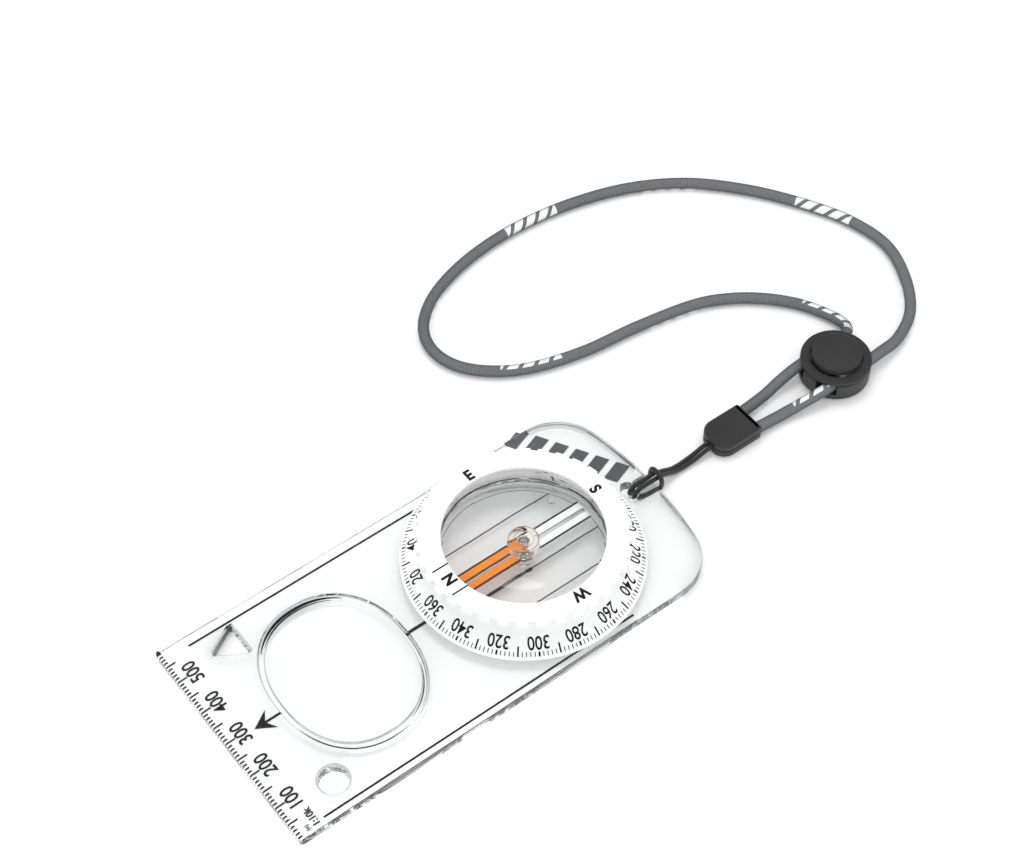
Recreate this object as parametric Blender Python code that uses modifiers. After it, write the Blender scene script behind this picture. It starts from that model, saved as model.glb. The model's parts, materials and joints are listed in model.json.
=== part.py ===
"""Baseplate compass with a neck lanyard.

Metres, +Z up. +Y is the direction of travel, +X is to the user's right. The origin lies on
the resting surface, under the middle of the baseplate.
"""
import math

import bmesh
import bpy
from mathutils import Matrix, Vector

MM = 0.001
GAP = 0.3 * MM                      # play between neighbouring pieces

# Baseplate
PLATE_WIDTH = 60.0 * MM
PLATE_LENGTH = 121.4 * MM
PLATE_THICK = 3.0 * MM
PLATE_CHAMFER = 0.35 * MM
FRONT_CORNER_R = 1.0 * MM
REAR_CORNER_R = 13.0 * MM
REAR_BOW_R = 100.0 * MM             # the rear edge is a shallow arc
FRONT_BEVEL_LENGTH = 7.3 * MM       # ruler strip that slopes down to the front edge
FRONT_EDGE_THICK = 2.3 * MM

# Dial axis, measured from the middle of the plate
DIAL_Y = -22.3 * MM
HOUSING_HOLE_R = 23.4 * MM
COUNTERBORE_R = 25.2 * MM
COUNTERBORE_DEPTH = 1.3 * MM

# Moulded magnifier
LENS_CENTRE_Y = 29.1 * MM
LENS_HALF_X = 19.35 * MM
LENS_HALF_Y = 16.05 * MM
MOAT_HALF_X = 21.4 * MM             # groove that frames the lens
MOAT_HALF_Y = 17.6 * MM
MOAT_DEPTH = 0.8 * MM
LENS_EDGE_Z = 2.9 * MM
LENS_TOP_Z = 4.5 * MM
SQUIRCLE_POWER = 2.2

# Marking stencils and cord hole
CIRCLE_CENTRE = (-22.0 * MM, 46.7 * MM)
CIRCLE_R = 3.5 * MM
TRIANGLE_CENTRE = (21.2 * MM, 45.6 * MM)
TRIANGLE_SIDE = 9.5 * MM
CORD_HOLE_Y = -54.5 * MM
CORD_HOLE_WIDTH = 5.2 * MM
CORD_HOLE_LENGTH = 3.8 * MM
CHANNEL_WIDTH = 6.0 * MM            # relief under the plate for the looped leash
CHANNEL_DEPTH = 1.55 * MM

# Turning dial ring
RING_TOP_Z = 12.3 * MM
RING_UNDER_Z = 11.3 * MM
WINDOW_R = 19.3 * MM
GRIP_TOP_R = 24.7 * MM
GRIP_R = 25.4 * MM                  # notched rim that overhangs the wall
GRIP_UNDER_Z = 10.5 * MM
GRIP_FOOT_R = 24.3 * MM
GRIP_FOOT_Z = 7.2 * MM
CONE_R = 29.2 * MM
CONE_EDGE_Z = 3.7 * MM
RING_BORE_R = 22.6 * MM
NOTCH_COUNT = 36
NOTCH_PHASE = 0.675                 # share of a notch's pitch, from the dial's east line
NOTCH_INNER_R = 24.5 * MM
NOTCH_FLOOR_Z = 10.0 * MM
NOTCH_SIZE = (2.0 * MM, 1.8 * MM, 3.0 * MM)

# Liquid capsule
CAPSULE_R = 22.3 * MM
CAPSULE_BORE_R = 21.3 * MM
CAPSULE_UNDER_Z = 0.5 * MM
FLOOR_R = 20.0 * MM
FLOOR_Z = 1.6 * MM
RIM_Z = 10.2 * MM
BOSS_R = 2.0 * MM
BOSS_BORE_R = 0.9 * MM
BOSS_TOP_Z = 2.6 * MM
SKIRT_OUTER_R = 21.0 * MM
SKIRT_INNER_R = 20.2 * MM
SKIRT_FOOT_Z = 4.9 * MM
LID_TOP_Z = 11.6 * MM
PLUG_RADIUS = 0.9 * MM
PLUG_PLACE = (9.4 * MM, -15.7 * MM)  # from the dial axis

# Needle
NEEDLE_Z = 6.2 * MM
NEEDLE_THICK = 0.3 * MM
NEEDLE_HALF_WIDTH = 2.8 * MM
NEEDLE_HALF_LENGTH = 18.0 * MM
SLOT_HALF_WIDTH = 0.6 * MM
SLOT_START = 3.6 * MM
NEEDLE_BORE_R = 1.5 * MM
PIN_R = 0.6 * MM
PIN_TIP_Z = 8.2 * MM
HUB_R = 3.9 * MM
HUB_UNDER_Z = 6.8 * MM
HUB_TOP_Z = 9.6 * MM
HUB_DISH_R = 2.2 * MM
HUB_DISH = 0.2 * MM

# Clasp that joins the leash to the lanyard
CLASP_CENTRE_X = -0.7 * MM
CLASP_FRONT_Y = -79.3 * MM
CLASP_REAR_Y = -92.1 * MM
CLASP_WIDTH = 9.5 * MM
CLASP_HEIGHT = 4.3 * MM
CLASP_NOSE_R = 3.6 * MM
LEASH_SOCKET_R = 0.85 * MM
LEASH_SOCKET_DEPTH = 2.1 * MM
CORD_SOCKET_R = 1.8 * MM
CORD_SOCKET_DEPTH = 2.5 * MM
CORD_SPREAD = 2.85 * MM             # each strand from the clasp's centre line
LEASH_SPREAD = 0.7 * MM
KNOT_X = -0.9 * MM                  # where the leash lies in the plate's cord hole

# Cord lock
LOCK_CENTRE = (-0.85 * MM, -120.3 * MM)
LOCK_R = 9.0 * MM
LOCK_BORE_R = 7.3 * MM
LOCK_FLOOR_Z = 0.4 * MM
LOCK_WALL_Z = 5.2 * MM
COLLAR_BORE_R = 6.6 * MM
COLLAR_TOP_Z = 6.4 * MM
GATE_INNER_X = 2.3 * MM             # cord gates in the wall, from the lock's centre line
GATE_OUTER_X = 6.9 * MM
GATE_FLOOR_Z = 2.1 * MM
BUTTON_R = 6.3 * MM
BUTTON_FOOT_R = 6.9 * MM
BUTTON_TOP_Z = 8.4 * MM
BUTTON_CAP_Z = 6.5 * MM
BUTTON_FOOT_Z = 1.65 * MM
BUTTON_FOOT_TOP_Z = 2.1 * MM
POST_HALF_X = 2.3 * MM
POST_HALF_Y = 5.4 * MM
SPRING_BORE_R = 1.75 * MM
SPRING_BORE_TOP_Z = 5.6 * MM
SPRING_R = 1.25 * MM
SPRING_WIRE_R = 0.2 * MM
SPRING_TURNS = 5
SPRING_FOOT_Z = 0.9 * MM
SPRING_HEAD_Z = 5.1 * MM

# Cords
LEASH_R = 0.6 * MM
LANYARD_R = 1.5 * MM
LEASH_POINTS = 56
LANYARD_POINTS = 78
BEND_WEIGHT = 20.0 * MM             # extra points per radian of bend

# Half of the leash's lark's head, in mm, from the clasp round the plate's rear edge to the
# crest that crosses over both legs
LEASH_LEG = (
    (0.70, -81.0, 2.15), (0.70, -78.0, 2.05), (0.68, -73.6, 1.15), (0.60, -68.4, 1.10),
    (0.65, -64.6, 2.75), (0.74, -62.2, 3.72), (0.75, -59.8, 3.85), (0.75, -57.4, 3.85),
    (0.77, -56.2, 3.78), (0.80, -55.2, 3.25), (0.88, -54.6, 2.30), (1.00, -54.7, 1.35),
    (1.30, -55.7, 0.84), (1.70, -57.3, 0.77), (1.95, -59.4, 0.77), (2.08, -61.2, 0.95),
    (2.15, -61.9, 1.90), (2.12, -62.0, 3.40), (1.50, -62.0, 4.80),
)
LEASH_CREST = (KNOT_X / MM, -62.0, 5.2)

# The lanyard's route, in mm: clasp, lock, one open loop, lock, clasp
LANYARD_ROUTE = (
    (2.15, -90.0, 2.15), (3.20, -100.0, 1.75), (3.85, -106.0, 2.70), (4.05, -112.0, 3.80),
    (4.25, -121.2, 3.85), (4.55, -126.7, 3.65), (5.85, -130.6, 2.85), (8.90, -132.3, 1.95),
    (13.8, -131.4, 1.55), (20.6, -128.1, 1.50), (27.2, -122.6, 1.50), (33.0, -115.2, 1.50),
    (37.2, -105.8, 1.50), (40.2, -89.5, 1.50), (41.9, -74.0, 1.50), (45.6, -60.2, 1.50),
    (50.8, -51.2, 1.50), (57.6, -45.2, 1.50), (65.2, -43.3, 1.50), (72.6, -45.6, 1.50),
    (78.8, -52.0, 1.50), (83.2, -61.4, 1.50), (86.0, -73.6, 1.50), (86.7, -87.6, 1.50),
    (84.8, -103.6, 1.50), (80.0, -119.4, 1.50), (71.8, -133.2, 1.50), (60.4, -144.2, 1.50),
    (47.4, -152.8, 1.50), (34.6, -158.7, 1.50), (22.4, -160.3, 1.50), (11.0, -156.2, 1.50),
    (1.80, -149.2, 1.55), (-3.20, -140.2, 1.95), (-4.70, -132.3, 3.15), (-5.50, -124.2, 3.85),
    (-5.70, -112.0, 3.80), (-4.90, -106.0, 2.70), (-4.05, -100.0, 1.75), (-3.55, -90.0, 2.15),
)


def clear_scene():
    for obj in list(bpy.data.objects):
        bpy.data.objects.remove(obj, do_unlink=True)


def new_collection(name):
    group = bpy.data.collections.new(name)
    bpy.context.scene.collection.children.link(group)
    return group


def new_material(name, color, roughness, metallic=0.0, transmission=0.0):
    mat = bpy.data.materials.new(name)
    mat.use_nodes = True
    mat.diffuse_color = (*color, 1.0)
    shader = mat.node_tree.nodes["Principled BSDF"]
    shader.inputs["Base Color"].default_value = (*color, 1.0)
    shader.inputs["Roughness"].default_value = roughness
    shader.inputs["Metallic"].default_value = metallic
    shader.inputs["Transmission Weight"].default_value = transmission
    return mat


def place(obj, group, mat=None, at=(0.0, 0.0, 0.0), parent=None):
    """Put an object in its collection at a world place, under an optional parent empty."""
    group.objects.link(obj)
    obj.location = at
    if parent is not None:
        obj.parent = parent
        obj.matrix_parent_inverse = Matrix.Translation(parent.matrix_world.translation).inverted()
    if mat is not None:
        obj.data.materials.append(mat)
    return obj


def new_empty(name, group, at, parent=None):
    empty = bpy.data.objects.new(name, None)
    empty.empty_display_size = 5.0 * MM
    place(empty, group, at=at, parent=parent)
    bpy.context.view_layer.update()
    return empty


def as_cutter(obj, group, at=(0.0, 0.0, 0.0)):
    place(obj, group, at=at)
    obj.hide_render = True
    obj.display_type = 'WIRE'
    return obj


def shade_smooth(mesh, sharp_angle=math.radians(35.0)):
    mesh.shade_smooth()
    mesh.set_sharp_from_angle(angle=sharp_angle)


def object_from_bmesh(name, bm):
    mesh = bpy.data.meshes.new(name)
    bm.to_mesh(mesh)
    bm.free()
    shade_smooth(mesh)
    return bpy.data.objects.new(name, mesh)


def arc(centre, radius, start, end, count):
    """Points on an arc, angles in degrees, both ends included."""
    points = []
    for i in range(count + 1):
        angle = math.radians(start + (end - start) * i / count)
        points.append((centre[0] + radius * math.cos(angle), centre[1] + radius * math.sin(angle)))
    return points


def mirrored(points):
    """The points with x negated, in reverse order, to close a symmetric outline."""
    return [(-x, y) for x, y in reversed(points)]


def flat_solid(name, loops, low, high):
    """A flat outline, with holes as further loops, between two heights."""
    curve = bpy.data.curves.new(name, 'CURVE')
    curve.dimensions = '2D'
    curve.fill_mode = 'BOTH'
    curve.extrude = (high - low) / 2.0
    for loop in loops:
        spline = curve.splines.new('POLY')
        spline.points.add(len(loop) - 1)
        for point, (x, y) in zip(spline.points, loop):
            point.co = (x, y, 0.0, 1.0)
        spline.use_cyclic_u = True
    source = bpy.data.objects.new(name + "_outline", curve)
    bpy.context.scene.collection.objects.link(source)
    graph = bpy.context.evaluated_depsgraph_get()
    mesh = bpy.data.meshes.new_from_object(source.evaluated_get(graph))
    bpy.data.objects.remove(source, do_unlink=True)
    bm = bmesh.new()
    bm.from_mesh(mesh)
    bpy.data.meshes.remove(mesh)
    bmesh.ops.remove_doubles(bm, verts=bm.verts, dist=0.01 * MM)
    bmesh.ops.translate(bm, verts=bm.verts, vec=(0.0, 0.0, (low + high) / 2.0))
    bmesh.ops.recalc_face_normals(bm, faces=bm.faces)
    return object_from_bmesh(name, bm)


def box_solid(name, low, high):
    bm = bmesh.new()
    bmesh.ops.create_cube(bm, size=1.0)
    size = Vector(high) - Vector(low)
    bmesh.ops.scale(bm, verts=bm.verts, vec=size)
    bmesh.ops.translate(bm, verts=bm.verts, vec=(Vector(low) + Vector(high)) / 2.0)
    return object_from_bmesh(name, bm)


def rod_solid(name, radius, low, high, sides=32, along='Z'):
    """A cylinder round its own axis, between two places on that axis."""
    bm = bmesh.new()
    bmesh.ops.create_cone(bm, cap_ends=True, segments=sides, radius1=radius, radius2=radius,
                          depth=high - low)
    bmesh.ops.translate(bm, verts=bm.verts, vec=(0.0, 0.0, (low + high) / 2.0))
    if along == 'Y':
        bmesh.ops.rotate(bm, verts=bm.verts, cent=(0.0, 0.0, 0.0),
                         matrix=Matrix.Rotation(math.radians(-90.0), 3, 'X'))
    return object_from_bmesh(name, bm)


def turned(name, profile, steps, closed=False):
    """A profile of (radius, height) pairs turned once round Z with a Screw modifier."""
    mesh = bpy.data.meshes.new(name)
    verts = [(radius, 0.0, height) for radius, height in profile]
    edges = [(i, i + 1) for i in range(len(verts) - 1)]
    if closed:
        edges.append((len(verts) - 1, 0))
    mesh.from_pydata(verts, edges, [])
    obj = bpy.data.objects.new(name, mesh)
    screw = obj.modifiers.new("turn", 'SCREW')
    screw.axis = 'Z'
    screw.angle = math.tau
    screw.steps = steps
    screw.render_steps = steps
    screw.use_merge_vertices = True
    screw.merge_threshold = 0.001 * MM
    screw.use_smooth_shade = False
    return obj


def pressed_disc(name, profile, half_x, half_y, steps):
    """A profile, radius 0 at both ends and 1 at the rim, swept round a squircle plan."""
    bm = bmesh.new()
    rings = []
    for radius, height in profile[1:-1]:
        ring = []
        for i in range(steps):
            angle = math.tau * i / steps
            cosine, sine = math.cos(angle), math.sin(angle)
            total = abs(cosine) ** SQUIRCLE_POWER + abs(sine) ** SQUIRCLE_POWER
            reach = radius * total ** (-1.0 / SQUIRCLE_POWER)
            ring.append(bm.verts.new((half_x * reach * cosine, half_y * reach * sine, height)))
        rings.append(ring)
    top = bm.verts.new((0.0, 0.0, profile[0][1]))
    bottom = bm.verts.new((0.0, 0.0, profile[-1][1]))
    for i in range(steps):
        j = (i + 1) % steps
        bm.faces.new((top, rings[0][i], rings[0][j]))
        for upper, lower in zip(rings, rings[1:]):
            bm.faces.new((upper[i], lower[i], lower[j], upper[j]))
        bm.faces.new((bottom, rings[-1][j], rings[-1][i]))
    return object_from_bmesh(name, bm)


def boolean(obj, other, operation='DIFFERENCE'):
    cut = obj.modifiers.new(other.name, 'BOOLEAN')
    cut.operation = operation
    cut.object = other
    return cut


def smooth_route(route, count):
    """Points on a Catmull-Rom curve through a route in mm, closer together in its bends."""
    knots = [Vector(point) * MM for point in route]
    knots = [2 * knots[0] - knots[1]] + knots + [2 * knots[-1] - knots[-2]]
    dense = []
    for a, b, c, d in zip(knots, knots[1:], knots[2:], knots[3:]):
        for i in range(24):
            t = i / 24.0
            dense.append(0.5 * ((2 * b) + (c - a) * t + (2 * a - 5 * b + 4 * c - d) * t * t
                                + (3 * b - a - 3 * c + d) * t ** 3))
    dense.append(knots[-2])
    steps = [q - p for p, q in zip(dense, dense[1:])]
    lengths = [0.0]
    for before, step in zip(steps[:1] + steps, steps):
        lengths.append(lengths[-1] + step.length + BEND_WEIGHT * before.angle(step))
    points = []
    k = 0
    for i in range(count):
        target = lengths[-1] * i / (count - 1)
        while k < len(dense) - 2 and lengths[k + 1] < target:
            k += 1
        span = lengths[k + 1] - lengths[k]
        points.append(dense[k].lerp(dense[k + 1], (target - lengths[k]) / span))
    return points


def tube(name, points, radius, resolution=2):
    """A round wire or cord along the points, with filled caps."""
    curve = bpy.data.curves.new(name, 'CURVE')
    curve.dimensions = '3D'
    curve.bevel_depth = radius
    curve.bevel_resolution = resolution
    curve.use_fill_caps = True
    spline = curve.splines.new('POLY')
    spline.points.add(len(points) - 1)
    for point, co in zip(spline.points, points):
        point.co = (*co, 1.0)
    spline.use_smooth = True
    return bpy.data.objects.new(name, curve)


# ---------------------------------------------------------------- baseplate

def plate_outline():
    """Square front corners, round rear corners and a bowed rear edge."""
    half = PLATE_WIDTH / 2.0
    front = PLATE_LENGTH / 2.0
    bow_y = -PLATE_LENGTH / 2.0 + REAR_BOW_R
    corner_x = half - REAR_CORNER_R
    corner_y = bow_y - math.sqrt((REAR_BOW_R - REAR_CORNER_R) ** 2 - corner_x ** 2)
    meet = math.degrees(math.atan2(corner_y - bow_y, corner_x))
    right = arc((0.0, bow_y), REAR_BOW_R, -90.0, meet, 8)
    right += arc((corner_x, corner_y), REAR_CORNER_R, meet, 0.0, 12)[1:]
    right += arc((half - FRONT_CORNER_R, front - FRONT_CORNER_R), FRONT_CORNER_R, 0.0, 90.0, 4)
    return right + mirrored(right)[:-1]


def front_bevel_cutter(group):
    """A block whose lower face is the sloping ruler strip."""
    drop = PLATE_THICK - FRONT_EDGE_THICK
    angle = math.atan2(drop, FRONT_BEVEL_LENGTH)
    block = box_solid("front_bevel", (-35 * MM, 0.0, 0.0), (35 * MM, 12 * MM, 5 * MM))
    as_cutter(block, group, at=(0.0, PLATE_LENGTH / 2.0 - FRONT_BEVEL_LENGTH, PLATE_THICK))
    block.rotation_euler = (-angle, 0.0, 0.0)
    return block


def triangle_cutter(group):
    radius = TRIANGLE_SIDE / math.sqrt(3.0)
    corner = 0.5 * MM
    inset = radius - 2.0 * corner
    points = []
    for i in range(3):
        angle = 90.0 + 120.0 * i
        x = inset * math.cos(math.radians(angle))
        y = inset * math.sin(math.radians(angle))
        points += arc((x, y), corner, angle - 60.0, angle + 60.0, 4)
    cutter = flat_solid("triangle_stencil", [points], -2 * MM, 6 * MM)
    return as_cutter(cutter, group, at=(*TRIANGLE_CENTRE, 0.0))


def cord_hole_cutter(group):
    half = CORD_HOLE_LENGTH / 2.0
    reach = CORD_HOLE_WIDTH / 2.0 - half
    points = arc((reach, 0.0), half, -90.0, 90.0, 10) + arc((-reach, 0.0), half, 90.0, 270.0, 10)
    cutter = flat_solid("cord_hole", [points], -2 * MM, 6 * MM)
    return as_cutter(cutter, group, at=(0.0, CORD_HOLE_Y, 0.0))


def cord_channel_cutter(group):
    half = CHANNEL_WIDTH / 2.0
    low = (KNOT_X - half, -PLATE_LENGTH / 2.0 - 3 * MM, -2 * MM)
    high = (KNOT_X + half, CORD_HOLE_Y, CHANNEL_DEPTH)
    return as_cutter(box_solid("cord_channel", low, high), group)


def lens_blank(group):
    """The lens body: a low dome on a straight edge, sunk into the plate."""
    profile = [(0.0, LENS_TOP_Z)]
    for i in range(1, 5):
        radius = i / 4.0
        profile.append((radius, LENS_TOP_Z - (LENS_TOP_Z - LENS_EDGE_Z) * radius ** 2))
    profile += [(1.0, 1.2 * MM), (0.0, 1.2 * MM)]
    blank = pressed_disc("lens_dome", profile, LENS_HALF_X, LENS_HALF_Y, 44)
    return as_cutter(blank, group, at=(0.0, LENS_CENTRE_Y, 0.0))


def lens_moat_cutter(group):
    floor = PLATE_THICK - MOAT_DEPTH
    profile = [(0.0, 8 * MM), (1.0, 8 * MM), (1.0, floor), (0.0, floor)]
    cutter = pressed_disc("lens_moat", profile, MOAT_HALF_X, MOAT_HALF_Y, 44)
    return as_cutter(cutter, group, at=(0.0, LENS_CENTRE_Y, 0.0))


def build_baseplate(parts, cutters, mat):
    plate = flat_solid("baseplate", [plate_outline()], 0.0, PLATE_THICK)
    place(plate, parts, mat)
    edge = plate.modifiers.new("edges", 'BEVEL')
    edge.width = PLATE_CHAMFER
    edge.segments = 1
    edge.limit_method = 'ANGLE'
    edge.angle_limit = math.radians(60.0)
    hole = rod_solid("housing_hole", HOUSING_HOLE_R, -2 * MM, 6 * MM, 60)
    counterbore = rod_solid("counterbore", COUNTERBORE_R, -2 * MM, COUNTERBORE_DEPTH, 60)
    circle = rod_solid("circle_stencil", CIRCLE_R, -2 * MM, 6 * MM, 32)
    boolean(plate, front_bevel_cutter(cutters))
    boolean(plate, as_cutter(hole, cutters, at=(0.0, DIAL_Y, 0.0)))
    boolean(plate, as_cutter(counterbore, cutters, at=(0.0, DIAL_Y, 0.0)))
    boolean(plate, as_cutter(circle, cutters, at=(*CIRCLE_CENTRE, 0.0)))
    boolean(plate, triangle_cutter(cutters))
    boolean(plate, cord_hole_cutter(cutters))
    boolean(plate, cord_channel_cutter(cutters))
    boolean(plate, lens_moat_cutter(cutters))
    boolean(plate, lens_blank(cutters), 'UNION')
    return plate


# ---------------------------------------------------------------- turning housing

def notch_cutter(group):
    """Blocks in a circle that cut the finger grip's notches."""
    bm = bmesh.new()
    for i in range(NOTCH_COUNT):
        turn = Matrix.Rotation(math.tau * (i + NOTCH_PHASE) / NOTCH_COUNT, 4, 'Z')
        shift = Matrix.Translation((NOTCH_INNER_R + NOTCH_SIZE[0] / 2.0, 0.0,
                                    NOTCH_FLOOR_Z + NOTCH_SIZE[2] / 2.0))
        size = Matrix.Diagonal((*NOTCH_SIZE, 1.0))
        bmesh.ops.create_cube(bm, size=1.0, matrix=turn @ shift @ size)
    return as_cutter(object_from_bmesh("grip_notches", bm), group, at=(0.0, DIAL_Y, 0.0))


def build_dial_ring(parts, cutters, mat, axis):
    """White ring: window lip, notched overhanging grip, graduated cone and a foot on the plate."""
    skirt_z = PLATE_THICK + 0.35 * MM
    profile = [
        (WINDOW_R + 0.3 * MM, RING_TOP_Z),
        (GRIP_TOP_R, RING_TOP_Z),
        (GRIP_R - 0.2 * MM, RING_TOP_Z - 0.25 * MM),
        (GRIP_R, RING_TOP_Z - 0.7 * MM),
        (GRIP_R, GRIP_UNDER_Z + 0.3 * MM),
        (GRIP_R - 0.3 * MM, GRIP_UNDER_Z),
        (GRIP_FOOT_R, GRIP_UNDER_Z),
        (GRIP_FOOT_R, GRIP_FOOT_Z),
        (CONE_R - 0.3 * MM, CONE_EDGE_Z + 0.25 * MM),
        (CONE_R, CONE_EDGE_Z),
        (CONE_R, skirt_z),
        (CONE_R - 0.9 * MM, skirt_z),
        (RING_BORE_R + 2.3 * MM, 5.7 * MM),
        (RING_BORE_R + 2.3 * MM, skirt_z),
        (RING_BORE_R, skirt_z),
        (RING_BORE_R, RING_UNDER_Z),
        (WINDOW_R, RING_UNDER_Z),
        (WINDOW_R, RING_TOP_Z - 0.3 * MM),
    ]
    ring = place(turned("dial_ring", profile, 60, closed=True), parts, mat, (0, DIAL_Y, 0), axis)
    boolean(ring, notch_cutter(cutters))
    return ring


def build_capsule_base(parts, cutters, mat, axis):
    """Clear cup with a boss for the pivot and a filling hole in its floor."""
    profile = [
        (0.0, FLOOR_Z - 0.2 * MM),
        (BOSS_BORE_R, FLOOR_Z - 0.2 * MM),
        (BOSS_BORE_R, BOSS_TOP_Z),
        (BOSS_R, BOSS_TOP_Z),
        (BOSS_R + 0.2 * MM, FLOOR_Z),
        (FLOOR_R, FLOOR_Z),
        (CAPSULE_BORE_R, FLOOR_Z + 1.3 * MM),
        (CAPSULE_BORE_R, RIM_Z),
        (CAPSULE_R, RIM_Z),
        (CAPSULE_R, CAPSULE_UNDER_Z),
        (0.0, CAPSULE_UNDER_Z),
    ]
    base = place(turned("capsule_base", profile, 48), parts, mat, (0, DIAL_Y, 0), axis)
    hole = rod_solid("filling_hole", PLUG_RADIUS + GAP, -1 * MM, 4 * MM, 16)
    boolean(base, as_cutter(hole, cutters, at=(PLUG_PLACE[0], DIAL_Y + PLUG_PLACE[1], 0.0)))
    return base


def build_fill_plug(parts, mat, axis):
    plug = rod_solid("fill_plug", PLUG_RADIUS, CAPSULE_UNDER_Z + 0.1 * MM, FLOOR_Z + 0.2 * MM, 16)
    return place(plug, parts, mat, (PLUG_PLACE[0], DIAL_Y + PLUG_PLACE[1], 0.0), axis)


def build_capsule_lid(parts, mat, axis):
    """Clear, slightly domed lid whose skirt reaches down into the cup."""
    shoulder = RING_UNDER_Z - GAP
    profile = [
        (0.0, LID_TOP_Z),
        (10.0 * MM, LID_TOP_Z - 0.15 * MM),
        (WINDOW_R - 0.5 * MM, shoulder),
        (CAPSULE_R, shoulder),
        (CAPSULE_R, RIM_Z + GAP),
        (SKIRT_OUTER_R, RIM_Z + GAP),
        (SKIRT_OUTER_R, SKIRT_FOOT_Z),
        (SKIRT_INNER_R, SKIRT_FOOT_Z),
        (SKIRT_INNER_R, 10.0 * MM),
        (10.0 * MM, 10.35 * MM),
        (0.0, 10.45 * MM),
    ]
    return place(turned("capsule_lid", profile, 48), parts, mat, (0, DIAL_Y, 0), axis)


def build_retaining_ring(parts, mat, axis):
    """Snap ring in the plate's counterbore that holds the housing down."""
    low = 0.25 * MM
    high = COUNTERBORE_DEPTH - GAP
    outer = COUNTERBORE_R - GAP
    profile = [
        (CAPSULE_R + GAP, high),
        (outer, high),
        (outer, low + 0.2 * MM),
        (outer - 0.2 * MM, low),
        (CAPSULE_R + GAP, low),
    ]
    ring = turned("retaining_ring", profile, 48, closed=True)
    return place(ring, parts, mat, (0, DIAL_Y, 0), axis)


def build_pivot_pin(parts, mat, axis):
    profile = [
        (0.0, PIN_TIP_Z),
        (0.12 * MM, PIN_TIP_Z - 0.1 * MM),
        (0.42 * MM, PIN_TIP_Z - 1.2 * MM),
        (PIN_R, PIN_TIP_Z - 2.6 * MM),
        (PIN_R, FLOOR_Z + 0.1 * MM),
        (0.0, FLOOR_Z + 0.1 * MM),
    ]
    return place(turned("pivot_pin", profile, 20), parts, mat, (0, DIAL_Y, 0), axis)


# ---------------------------------------------------------------- needle

def build_needle_hub(parts, mat, axis):
    """Clear round cap, dished on top, that carries the bearing and the two needle halves."""
    bore_top = HUB_TOP_Z - 0.6 * MM
    profile = [
        (0.0, HUB_TOP_Z - HUB_DISH),
        (HUB_DISH_R, HUB_TOP_Z - HUB_DISH),
        (HUB_DISH_R + 0.3 * MM, HUB_TOP_Z),
        (HUB_R - 0.3 * MM, HUB_TOP_Z),
        (HUB_R, HUB_TOP_Z - 0.3 * MM),
        (HUB_R, HUB_UNDER_Z),
        (NEEDLE_BORE_R, HUB_UNDER_Z),
        (NEEDLE_BORE_R, bore_top),
        (0.0, bore_top),
    ]
    return place(turned("needle_hub", profile, 28), parts, mat, (0, DIAL_Y, 0), axis)


def build_jewel_bearing(parts, mat, axis):
    top = HUB_TOP_Z - 0.6 * MM - GAP
    foot = HUB_UNDER_Z + 0.4 * MM
    outer = NEEDLE_BORE_R - GAP
    profile = [
        (0.0, top),
        (outer, top),
        (outer, foot),
        (outer - 0.3 * MM, foot),
        (0.45 * MM, PIN_TIP_Z + GAP),
        (0.0, PIN_TIP_Z + GAP),
    ]
    return place(turned("jewel_bearing", profile, 24), parts, mat, (0, DIAL_Y, 0), axis)


def build_needle_half(name, sign, parts, mat, axis):
    """One forked half of the needle; sign +1 is the north half."""
    half = NEEDLE_HALF_WIDTH
    split = GAP / 2.0
    bore_angle = math.degrees(math.asin(split / NEEDLE_BORE_R))
    outline = arc((0.0, 0.0), NEEDLE_BORE_R, 180.0 - bore_angle, bore_angle, 8)
    outline += [(half, split), (half, NEEDLE_HALF_LENGTH), (SLOT_HALF_WIDTH, NEEDLE_HALF_LENGTH),
                (SLOT_HALF_WIDTH, SLOT_START), (-SLOT_HALF_WIDTH, SLOT_START),
                (-SLOT_HALF_WIDTH, NEEDLE_HALF_LENGTH), (-half, NEEDLE_HALF_LENGTH),
                (-half, split)]
    loops = [[(x * sign, y * sign) for x, y in outline]]
    blade = flat_solid(name, loops, NEEDLE_Z, NEEDLE_Z + NEEDLE_THICK)
    return place(blade, parts, mat, (0, DIAL_Y, 0), axis)


def build_needle_magnet(parts, mat, axis):
    """Ring magnet hung under the needle, round the pivot pin."""
    low = NEEDLE_Z - GAP - 1.6 * MM
    high = NEEDLE_Z - GAP
    profile = [(1.4 * MM, high), (2.7 * MM, high), (2.7 * MM, low), (1.4 * MM, low)]
    ring = turned("needle_magnet", profile, 24, closed=True)
    return place(ring, parts, mat, (0, DIAL_Y, 0), axis)


# ---------------------------------------------------------------- clasp and cords

def clasp_outline():
    half = CLASP_WIDTH / 2.0
    right = [(half - 0.6 * MM, CLASP_REAR_Y), (half, CLASP_REAR_Y + 0.6 * MM)]
    right += arc((half - CLASP_NOSE_R, CLASP_FRONT_Y - CLASP_NOSE_R), CLASP_NOSE_R, 0.0, 90.0, 8)
    return right + mirrored(right)


def clasp_cutters(group):
    """Sockets for the two leash strands in front and the two lanyard strands behind."""
    middle = CLASP_HEIGHT / 2.0
    sockets = []
    for side, sign in (("left", -1.0), ("right", 1.0)):
        leash = rod_solid("leash_socket_" + side, LEASH_SOCKET_R, -LEASH_SOCKET_DEPTH, 2 * MM, 16, 'Y')
        at = (CLASP_CENTRE_X + sign * LEASH_SPREAD, CLASP_FRONT_Y, middle)
        sockets.append(as_cutter(leash, group, at))
        cord = rod_solid("cord_socket_" + side, CORD_SOCKET_R, -2 * MM, CORD_SOCKET_DEPTH, 20, 'Y')
        at = (CLASP_CENTRE_X + sign * CORD_SPREAD, CLASP_REAR_Y, middle)
        sockets.append(as_cutter(cord, group, at))
    return sockets


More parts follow.
